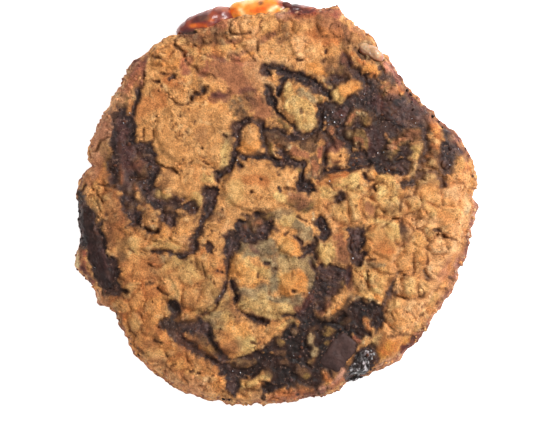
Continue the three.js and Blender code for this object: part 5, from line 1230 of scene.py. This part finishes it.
def makeLump(spec, seed, blunt, rough, rework):
    isLobe = "top" in spec
    n, tri = fineBall if spec.get("long") else ball
    n = n / (np.abs(n) ** blunt).sum(1)[:, None] ** (1 / blunt)
    length = splinePoint(spec["path"], np.zeros(1))[2]
    along = n[:, 0] * (length / 2 + spec["half"])
    share = clamp(0.5 + along / length)
    place, heading, length = splinePoint(spec["path"], share)
    place = place + heading * (along - (share - 0.5) * length)[:, None]
    dent = rough * noise(place[:, 0] / 3 + n[:, 2], place[:, 1] / 3 - n[:, 1], seed)
    across = n[:, 1] * (spec["half"] + dent)
    px = place[:, 0] - heading[:, 1] * across
    py = place[:, 1] + heading[:, 0] * across
    crest = spec["top"] if isLobe else domeAt(px, py)[0] + spec["proud"]
    pz = crest - spec["thick"] / 2 + n[:, 2] * (spec["thick"] / 2 + dent)
    made = rework(np.stack([px, py, pz], 1), n)
    made[:, 2] = np.maximum(made[:, 2], 0)
    piece = makeMesh(spec["name"] + "_piece", made, tri)
    surface = Surface(*made.T, spec.get("paint", "chocolate"))
    if "paint" not in spec:
        paintChocolate(surface, np.ones(len(made)))
    for paint, strength, width, path in (lobeWashes if isLobe else washes):
        i, inside = surface.inside(width, path)
        if len(i) and (isLobe or paint in stains):
            surface.paint(paint, (1 if isLobe else 0.7) * strength * ease(0.5 + inside), i)
    for paint, strength, width, path in spec.get("cover", []):  # crust that lies over its edge
        i, inside = surface.inside(width, path)
        surface.paint(paint, strength * ease(0.5 + inside / 0.8), i)
    if spec["name"] == "chocolate_lower_edge":  # wet fudge: painted shade in black between the blobs, painted highlights on top where light is caught
        lump = lumpRelief(surface.wx, surface.wy, 1.3, 151)[0]
        shine = ease((layered(surface.wx, surface.wy, 0.6, 153, 2) - 0.16) / 0.12)
        shine = shine * ease((n[:, 2] - 0.1) / 0.3)
        surface.paint("black", 0.9 * (1 - lump))
        surface.paint("sugar", 0.9 * shine * lump)
    surface.rgb *= (1 + 0.1 * layered(*unrolled(*made.T), 0.8, seed, 2))[:, None]
    setPaint(piece, surface.rgb)
    return piece


def blobs(p, n):  # fudge that set in small round drops
    drops = lumpRelief(*wander(p[:, 0], p[:, 1], 0.4, 1.5, 155), 1.3, 151)[0]
    return p + n * (0.7 * (drops - 0.6))[:, None]


def roughen(amount, size, seed, ragged=0.0):  # small dents over a piece, and the melt's own relief
    def rework(p, n):
        bump = amount * layered(p[:, 0] + 2 * n[:, 2], p[:, 1] + 3 * n[:, 2], size, seed)
        bump = bump + ragged * chocolateRelief(p[:, 0], p[:, 1])
        return p + n * bump[:, None]
    return rework


# Colours on the marshmallow, the cream strokes being painted highlights: paint, strength, half width, line
lobeWashes = [
    ("syrup", 0.8, 0.6, [(-22, 46), (-18.6, 45.8)]), ("maroon", 0.8, 0.8, [(-24.2, 44), (-21, 44.3)]),
    ("grey", 0.6, 0.8, [(-19.3, 47.8), (-18.4, 47.9)]),
    ("maroon", 0.5, 0.9, [(-21.5, 47.3), (-18.6, 48.3)]), ("syrup", 0.6, 0.6, [(-17.2, 47.3)]),
    ("syrup", 0.6, 0.6, [(-14.2, 47.4)]), ("pink", 0.5, 0.6, [(-15.4, 50.4), (-13, 50)]),
    ("creamAndHighlight", 0.7, 0.7, [(-9, 52.2), (-6.5, 52.8)]), ("creamAndHighlight", 0.85, 0.45, [(-9.5, 50.3), (-8.6, 49)]),
    ("creamAndHighlight", 0.9, 0.6, [(-1.7, 50), (-0.3, 50.9)]), ("syrup", 0.8, 0.9, [(-11.3, 49.8)]),
    ("syrup", 0.8, 0.9, [(-6, 50.5), (-3.5, 50)]), ("syrup", 0.7, 0.8, [(0, 52.5), (-2, 51.5)]),
    ("maroon", 0.9, 0.5, [(-4.2, 52)]), ("maroon", 0.95, 1.1, [(1.4, 52), (4, 52)]),
    ("ember", 0.8, 1.8, [(1.6, 52.8), (5, 51.4)]), ("creamAndHighlight", 0.8, 0.35, [(9.3, 48.8)]),
    ("maroon", 0.5, 0.8, [(4, 50.5), (6, 49)]), ("rust", 0.6, 1, [(9.5, 50), (7.8, 51)]),
    ("pink", 0.6, 0.5, [(23.5, 42), (25.5, 40.5)]), ("pale", 0.55, 1.3, [(23, 41), (26.2, 38.8)]),
    ("grey", 0.4, 0.7, [(23, 39.6), (25, 38)]), ("maroon", 0.5, 0.4, [(26.8, 39.8), (28.2, 38)]),
    ("maroon", 1, 2.2, [(2.6, 54), (3.8, 52), (4.6, 50.6)]),
    ("black", 0.6, 0.7, [(2.8, 51.6), (4.2, 52.2)]),
]

print("chocolate and marshmallow pieces")
pieces = {}
for i, spec in enumerate(lobes):
    pieces[spec["name"]] = makeLump(spec, 50 + i, 2.6, 0.35, roughen(0.35, 1.8, 110 + i))
for i, spec in enumerate(chunks, len(lobes)):
    rework = roughen(0.3, 1.5, 110 + i, 0 if "paint" in spec else 1.2)
    if spec["name"] == "chocolate_lower_edge":
        rework = blobs
    pieces[spec["name"]] = makeLump(spec, 50 + i, spec.get("blunt", 3), spec.get("rough", 0.45), rework)


# Loose crumbs: on the crust, along the outline, and dark ones of chocolate
crumbs = {
    "onCrust": 1200, "onOutline": 200, "inMelt": 260, "glints": 36,
    "small": 0.2, "large": 0.5, "outlineLarge": 0.48,  # radius in millimetres
    "meltRadii": (0.25, 0.55), "glintRadii": (0.07, 0.13), "sparkleRadii": (0.1, 0.19),
    "reach": 52,  # how far out they are scattered
    "above": 8,   # height that the top is looked for from
    # black crumbs that stick out of the outline, and at the end two burnt drops: x, y, radius
    "beads": [(34.3, 29.5, 0.6), (35.2, 28.2, 0.45), (41, 22.5, 0.5), (43, 19.5, 0.5), (42.2, 21, 0.4),
              (-51.6, 2.4, 0.5), (-51.8, 1.2, 0.55), (-51.2, 3.4, 0.35), (-41.6, -29, 0.5),
              (-41, -30.8, 0.5), (-40.4, -32.2, 0.45), (-38.7, -35.4, 0.35), (-38, -37, 0.35),
              (-14, -51.5, 0.45), (-12.5, -51.6, 0.5), (24.6, -43.8, 0.5), (20, -46.8, 0.45),
              (5.2, -50.9, 0.4), (2.6, 51.9, 1.4), (3.9, 51.3, 1.1)],
    # places of painted glints: near-white beads where the light is caught
    "sparkles": [(-38, 22.9), (-10.3, 10.7), (27.3, 12.5), (25.9, 12.6), (12.7, 22), (13, 21.3),
                 (16.3, 22.8), (17.2, 22.8), (15.2, 21), (15.8, 20.5), (13.8, 5.4), (36.5, 23), (35, 22),
                 (19.7, -14.8), (-11.4, -44.6), (-9.8, -44.6), (9, -23.7), (24.5, -39.3)],
}
dice = np.random.default_rng(11)
topTree = KDTree(topCount)
for k in range(topCount):
    topTree.insert(points[k], k)
topTree.balance()


def crumbMesh(name, centres, radii, rgb):  # many small angular lumps in one mesh
    base, tri = ballPoints(2)
    count = len(centres)
    turn = dice.normal(size=(count, 4))
    turn = turn / np.linalg.norm(turn, axis=1)[:, None]
    w, i, j, k = turn.T
    matrix = np.array([[1 - 2 * (j * j + k * k), 2 * (i * j - k * w), 2 * (i * k + j * w)],
                       [2 * (i * j + k * w), 1 - 2 * (i * i + k * k), 2 * (j * k - i * w)],
                       [2 * (i * k - j * w), 2 * (j * k + i * w), 1 - 2 * (i * i + j * j)]])
    spiky = 0.2 / np.maximum(1, radii / 0.5)[:, None, None]  # the largest are rounder
    shape = base[None] * dice.uniform(0.55, 1.15, (count, 1, 3))
    shape = shape * (1 + spiky * dice.uniform(-1, 1, (count, len(base), 1)))
    shape = np.einsum("ijc,cpj->cpi", matrix, shape) * radii[:, None, None]
    made = (shape + centres[:, None]).reshape(-1, 3)
    made[:, 2] = np.maximum(made[:, 2], 0)
    faces = (tri[None] + len(base) * np.arange(count)[:, None, None]).reshape(-1, 3)
    piece = makeMesh(name, made, faces)
    setPaint(piece, np.repeat(rgb, len(base), 0))
    return piece


def onTop(count):  # random places on the top, with their nearest point of the mesh
    angle = dice.uniform(0, 2 * np.pi, count)
    away = np.sqrt(dice.uniform(0, 1, count)) * crumbs["reach"]
    places = np.stack([away * np.cos(angle), away * np.sin(angle)], 1)
    found = [topTree.find((*place, crumbs["above"])) for place in places]
    return np.array([point for point, _, _ in found]), np.array([index for _, index, _ in found])


def pick(names, count):
    return np.array([srgb(paints[name][0]) for name in names])[dice.integers(0, len(names), count)]


def crustCrumbs():
    where, index = onTop(crumbs["onCrust"] * 4)
    wanted = (doughTop.solid[index] < 0.15) & (doughTop.smooth[index] < 0.3)
    wanted &= layered(where[:, 0], where[:, 1], 4, 141, 2) > dice.uniform(-0.6, 0.5, len(where))
    where, index = where[wanted][:crumbs["onCrust"]], index[wanted][:crumbs["onCrust"]]
    radii = crumbs["small"] + (crumbs["large"] - crumbs["small"]) * dice.uniform(0, 1, len(where)) ** 2
    rgb = doughTop.rgb[index] * dice.uniform(0.92, 1.12, (len(where), 1))
    angle = dice.uniform(0, 2 * np.pi, crumbs["onOutline"] * 3)
    thick = layered(angle * 9, angle * 0, 1, 143, 2) > dice.uniform(-0.5, 0.6, len(angle))
    angle = angle[thick][:crumbs["onOutline"]]
    edgeRadii = dice.uniform(crumbs["small"], crumbs["outlineLarge"], len(angle))
    r = radiusAt(angle) - dice.uniform(0.05, 0.8, len(angle))
    edge = np.stack([r * np.cos(angle), r * np.sin(angle), dice.uniform(1.0, 4.2, len(angle))], 1)
    edge = np.array([topTree.find(place)[0] for place in edge])
    nearest = [topTree.find((0.985 * px, 0.985 * py, 6))[1] for px, py in edge[:, :2]]
    edgeRgb = doughTop.rgb[nearest] * dice.uniform(0.75, 1.15, (len(nearest), 1))
    places = np.concatenate([where - [0, 0, 0.05], edge])
    radii, rgb = np.concatenate([radii, edgeRadii]), np.concatenate([rgb, edgeRgb])
    return crumbMesh("crust_crumbs", places, radii, rgb)


def chocolateCrumbs():
    where, index = onTop(crumbs["inMelt"] * 5)
    where = where[doughTop.solid[index] > 0.7][:crumbs["inMelt"]]
    radii = dice.uniform(*crumbs["meltRadii"], len(where))
    rgb = pick(["chocolate", "redBrown", "plum"], len(where))
    beads = np.array(crumbs["beads"])
    tries = np.column_stack([beads[:, :2], dice.uniform(2, 4.5, len(beads))])
    beadPlaces = np.array([topTree.find(place)[0] for place in tries])
    beadPlaces[:, :2] = (beadPlaces[:, :2] + beads[:, :2]) / 2
    places = np.concatenate([where - [0, 0, 0.12], beadPlaces])
    rgb = np.concatenate([rgb, pick(["black", "chocolate"], len(beads) - 2), pick(["maroon"], 2)])
    return crumbMesh("chocolate_crumbs", places, np.concatenate([radii, beads[:, 2]]), rgb)


# near-white beads in the melt and at the given places: painted glints
def sugarCrystals():
    where, index = onTop(crumbs["glints"] * 6)
    where = where[doughTop.solid[index] > 0.8][:crumbs["glints"]]
    named = np.array([topTree.find((px, py, crumbs["above"]))[0] for px, py in crumbs["sparkles"]])
    places = np.concatenate([where, named]) + [0, 0, 0.12]
    radii = np.concatenate([dice.uniform(*crumbs["glintRadii"], len(where)),
                            dice.uniform(*crumbs["sparkleRadii"], len(named))])
    return crumbMesh("sugar_crystals", places, radii, np.tile(srgb("#F2F0F4"), (len(places), 1)))


scattered = [crustCrumbs(), chocolateCrumbs(), sugarCrystals()]
print("crumbs:", [len(piece.data.polygons) for piece in scattered])


# Materials: sizes of their patterns in millimetres, how strong the grain is, and the shader's numbers
foam = {"grain": 1.1, "contrast": 0.1, "bump": 0.4, "bumpDepth": 0.3,
        "shader": {"Roughness": 0.28, "IOR": 1.49, "Subsurface Weight": 0.4,
                   "Subsurface Scale": 1.5 * mm, "Subsurface Radius": (1.0, 0.45, 0.2)}}
finishes = {
    # baked sugar-and-butter dough: dry, matt and mealy, with satin chocolate melted into its cracks
    "crust": {"name": "bakedDoughWithChocolate", "grain": 0.38, "contrast": 0.36, "fine": 0.3,
              "fleck": 0.7, "fleckShade": 0.56, "bit": 0.8, "bitShare": 0.6, "bitColour": "#94705E",
              "wetSpot": 1.3, "dry": 0.88, "wet": 0.34, "bump": 0.7, "meltBump": 0.66, "bumpDepth": 0.3,
              "shader": {"IOR": 1.45, "Specular IOR Level": 0.35}},
    # chocolate that melted in the oven and set again: satin, with a faint bloom
    "chocolate": {"name": "setChocolate", "grain": 0.6, "contrast": 0.12, "ripple": 2.2,
                  "smooth": 0.42, "rough": 0.65, "bump": 0.6, "bumpDepth": 0.3,
                  "shader": {"IOR": 1.5, "Specular IOR Level": 0.22}},
    # the same, wet and lumpy, at the lower edge, where it sparkles
    "fudge": {"name": "wetFudge", "grain": 0.6, "contrast": 0.12, "ripple": 2.2,
              "smooth": 0.25, "rough": 0.45, "bump": 0.9, "bumpDepth": 0.5,
              "shader": {"IOR": 1.5, "Specular IOR Level": 0.5, "Coat Weight": 0.2, "Coat Roughness": 0.06}},
    # sugar foam that ran out on the hot tray and caramelised: glassy, translucent, amber to red-brown
    "marshmallow": {**foam, "name": "caramelisedMarshmallow", "glow": 0.0},
    # the same where it is so thin that the light of the table shines through; a painted glow, its paint
    # given out as light
    "glowing": {**foam, "name": "thinGlowingMarshmallow", "glow": 0.2},
    # loose crumbs, dry like the crust
    "crumb": {"name": "bakedCrumb", "grain": 0.3, "contrast": 0.15,
              "shader": {"IOR": 1.5, "Roughness": 0.85}},
    # near-white glassy beads in the melt: painted glints
    "glintFinish": {"name": "sugarCrystal", "grain": 0.3, "contrast": 0.15,
                "shader": {"IOR": 1.5, "Roughness": 0.12}},
}


def colour(code):
    return [*toLinear(srgb(code)), 1]


def node(tree, kind, sockets=None, **settings):  # a new node, with its sockets set or linked
    made = tree.nodes.new(kind)
    for name, value in settings.items():
        setattr(made, name, value)
    for name, value in (sockets or {}).items():
        if isinstance(value, bpy.types.NodeSocket):
            tree.links.new(value, made.inputs[name])
        else:
            made.inputs[name].default_value = value
    return made


def newMaterial(name, numbers):
    material = bpy.data.materials.new(name)
    material.use_nodes = True
    tree = material.node_tree
    tree.nodes.clear()
    shader = node(tree, "ShaderNodeBsdfPrincipled", numbers)
    node(tree, "ShaderNodeOutputMaterial", {"Surface": shader.outputs[0]})
    return material, tree, shader


def ramp(tree, value, low, high, toLow=0.0, toHigh=1.0):
    sockets = {"Value": value, "From Min": low, "From Max": high, "To Min": toLow, "To Max": toHigh}
    return node(tree, "ShaderNodeMapRange", sockets, clamp=True, interpolation_type="SMOOTHSTEP").outputs[0]


def blend(tree, a, b, share, how="MIX"):
    return node(tree, "ShaderNodeMix", {0: share, 6: a, 7: b}, data_type="RGBA", blend_type=how).outputs[2]


def calc(tree, how, a, b):
    return node(tree, "ShaderNodeMath", {0: a, 1: b}, operation=how).outputs[0]


def speckle(tree, place, size, detail, rough):  # noise with bumps about size mm apart
    sockets = {"Vector": place, "Scale": 1 / (size * mm), "Detail": detail, "Roughness": rough}
    return node(tree, "ShaderNodeTexNoise", sockets).outputs["Fac"]


def meshField(tree, name, output="Fac"):
    return node(tree, "ShaderNodeAttribute", attribute_name=name).outputs[output]


def paintedMaterial(look):
    # the paint of the mesh, with fine grain over it, and dark flecks as strong as its pepper field says
    material, tree, shader = newMaterial(look["name"], look["shader"])
    place = node(tree, "ShaderNodeTexCoord").outputs["Object"]
    grain = speckle(tree, place, look["grain"], 3, 0.65)
    shade = ramp(tree, grain, 0.3, 0.7, 1 - look["contrast"], 1 + look["contrast"] * 0.7)
    if "fleck" in look:
        flecks = ramp(tree, speckle(tree, place, look["fleck"], 1, 0.5), 0.62, 0.69)
        flecks = calc(tree, "MULTIPLY", meshField(tree, "pepper"), flecks)
        shade = calc(tree, "MULTIPLY", shade, ramp(tree, flecks, 0, 1, 1, look["fleckShade"]))
    shadeColour = node(tree, "ShaderNodeCombineColor", {0: shade, 1: shade, 2: shade}).outputs[0]
    painted = blend(tree, meshField(tree, "paint", "Color"), shadeColour, 1.0, "MULTIPLY")
    tree.links.new(painted, shader.inputs["Base Color"])
    return material, tree, shader, place, grain, painted


def addBump(tree, shader, look, strength, height):
    sockets = {"Strength": strength, "Distance": look["bumpDepth"] * mm, "Height": height}
    tree.links.new(node(tree, "ShaderNodeBump", sockets).outputs[0], shader.inputs["Normal"])


def makeCrust(look):
    material, tree, shader, place, grain, painted = paintedMaterial(look)
    melt = meshField(tree, "gloss")
    spots = ramp(tree, speckle(tree, place, look["wetSpot"], 3, 0.6), 0.35, 0.7, 0.4, 1.0)
    wet = calc(tree, "MULTIPLY", melt, spots)
    tree.links.new(ramp(tree, wet, 0, 1, look["dry"], look["wet"]), shader.inputs["Roughness"])
    # light crumbs and sugar caught in the melt
    bits = ramp(tree, speckle(tree, place, look["bit"], 2, 0.7), 0.58, 0.7, 0, look["bitShare"])
    bits = calc(tree, "MULTIPLY", melt, bits)
    tree.links.new(blend(tree, painted, colour(look["bitColour"]), bits), shader.inputs["Base Color"])
    fine = calc(tree, "MULTIPLY", speckle(tree, place, look["fine"], 2, 0.6), 0.5)
    strength = ramp(tree, melt, 0, 1, look["bump"], look["meltBump"])
    addBump(tree, shader, look, strength, calc(tree, "ADD", grain, fine))
    return material


def makeChocolate(look):
    material, tree, shader, place, grain, _ = paintedMaterial(look)
    tree.links.new(ramp(tree, grain, 0.3, 0.7, look["smooth"], look["rough"]), shader.inputs["Roughness"])
    ripple = speckle(tree, place, look["ripple"], 3, 0.6)
    addBump(tree, shader, look, look["bump"], calc(tree, "ADD", grain, ripple))
    return material


def makeMarshmallow(look):
    material, tree, shader, _, grain, _ = paintedMaterial(look)
    # painted glow: the paint is given out as light, as strong as the finish's glow
    tree.links.new(meshField(tree, "paint", "Color"), shader.inputs["Emission Color"])
    shader.inputs["Emission Strength"].default_value = look["glow"]
    addBump(tree, shader, look, look["bump"], grain)
    return material


materials = {"crust": makeCrust(finishes["crust"])}
for finish in ("chocolate", "fudge"):
    materials[finish] = makeChocolate(finishes[finish])
for finish in ("marshmallow", "glowing"):
    materials[finish] = makeMarshmallow(finishes[finish])
for finish in ("crumb", "glintFinish"):
    materials[finish] = paintedMaterial(finishes[finish])[0]
doughPiece.data.materials.append(materials["crust"])
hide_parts("dough")
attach(doughPiece, "root")
for name, piece in pieces.items():
    isLobe = name.startswith("marshmallow")
    wet = name == "chocolate_lower_edge"
    finish = "fudge" if wet else "chocolate"
    if isLobe:
        finish = "glowing" if name == "marshmallow_middle" else "marshmallow"
    piece.data.materials.append(materials[finish])
    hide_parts(name)
    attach(piece, "root")
looks = [("crumb", "crust"), ("chocolate", "chocolate"), ("glintFinish", "chocolate")]
for piece, (finish, slot) in zip(scattered, looks):
    piece.data.materials.append(materials[finish])
    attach(piece, "root")
print("materials done")

# Floor, light and camera
studio = {
    "photoWidthMm": 143,  # what the frame covers across, at the cookie's mid height
    "middle": (-0.52, -4.55, 6),  # the frame's middle, in millimetres
    "cameraHeight": 430, "sensor": 36,
    "floorSize": 1.6, "floorColour": "#F6F6F6", "floorGlow": 0.75, "sky": 0.378,
    # name, power in watts, size in metres, place
    "lights": [("keySoftbox", 2.72, 0.16, (0.32, 0.18, 0.36)),
               ("fillSoftbox", 0.35, 0.25, (-0.34, -0.2, 0.2))],
}


def makeStage():
    bpy.ops.mesh.primitive_plane_add(size=studio["floorSize"], location=(0, 0, -0.0002))
    floor = bpy.context.object
    floor.name = "paleFloor"
    # the white acrylic of a light table, evenly lit
    numbers = {"Base Color": colour(studio["floorColour"]), "Roughness": 0.6,
               "Emission Color": colour("#FFFFFF"), "Emission Strength": studio["floorGlow"]}
    floor.data.materials.append(newMaterial("whiteAcrylic", numbers)[0])
    world = bpy.data.worlds.new("softTent")
    world.use_nodes = True
    background = world.node_tree.nodes["Background"]
    background.inputs[0].default_value = colour("#FFFFFF")
    background.inputs[1].default_value = studio["sky"]
    bpy.context.scene.world = world
    for name, power, size, place in studio["lights"]:
        light = bpy.data.lights.new(name, "AREA")
        light.shape, light.size, light.energy = "SQUARE", size, power
        box = bpy.data.objects.new(name, light)
        box.location = place
        box.rotation_euler = (Vector((0, 0, 0)) - box.location).to_track_quat("-Z", "Y").to_euler()
        bpy.context.scene.collection.objects.link(box)


def makeCamera():
    cx, cy, cz = studio["middle"]
    camera = bpy.data.cameras.new("topCamera")
    camera.sensor_width = studio["sensor"]
    camera.lens = studio["sensor"] * (studio["cameraHeight"] - cz) / studio["photoWidthMm"]
    camera.clip_start, camera.clip_end = 0.01, 10
    rig = bpy.data.objects.new("topCamera", camera)
    rig.location = (cx * mm, cy * mm, studio["cameraHeight"] * mm)
    bpy.context.scene.collection.objects.link(rig)
    bpy.context.scene.camera = rig


makeStage()
makeCamera()
bpy.context.scene.view_settings.view_transform = "Standard"
print("stage done")
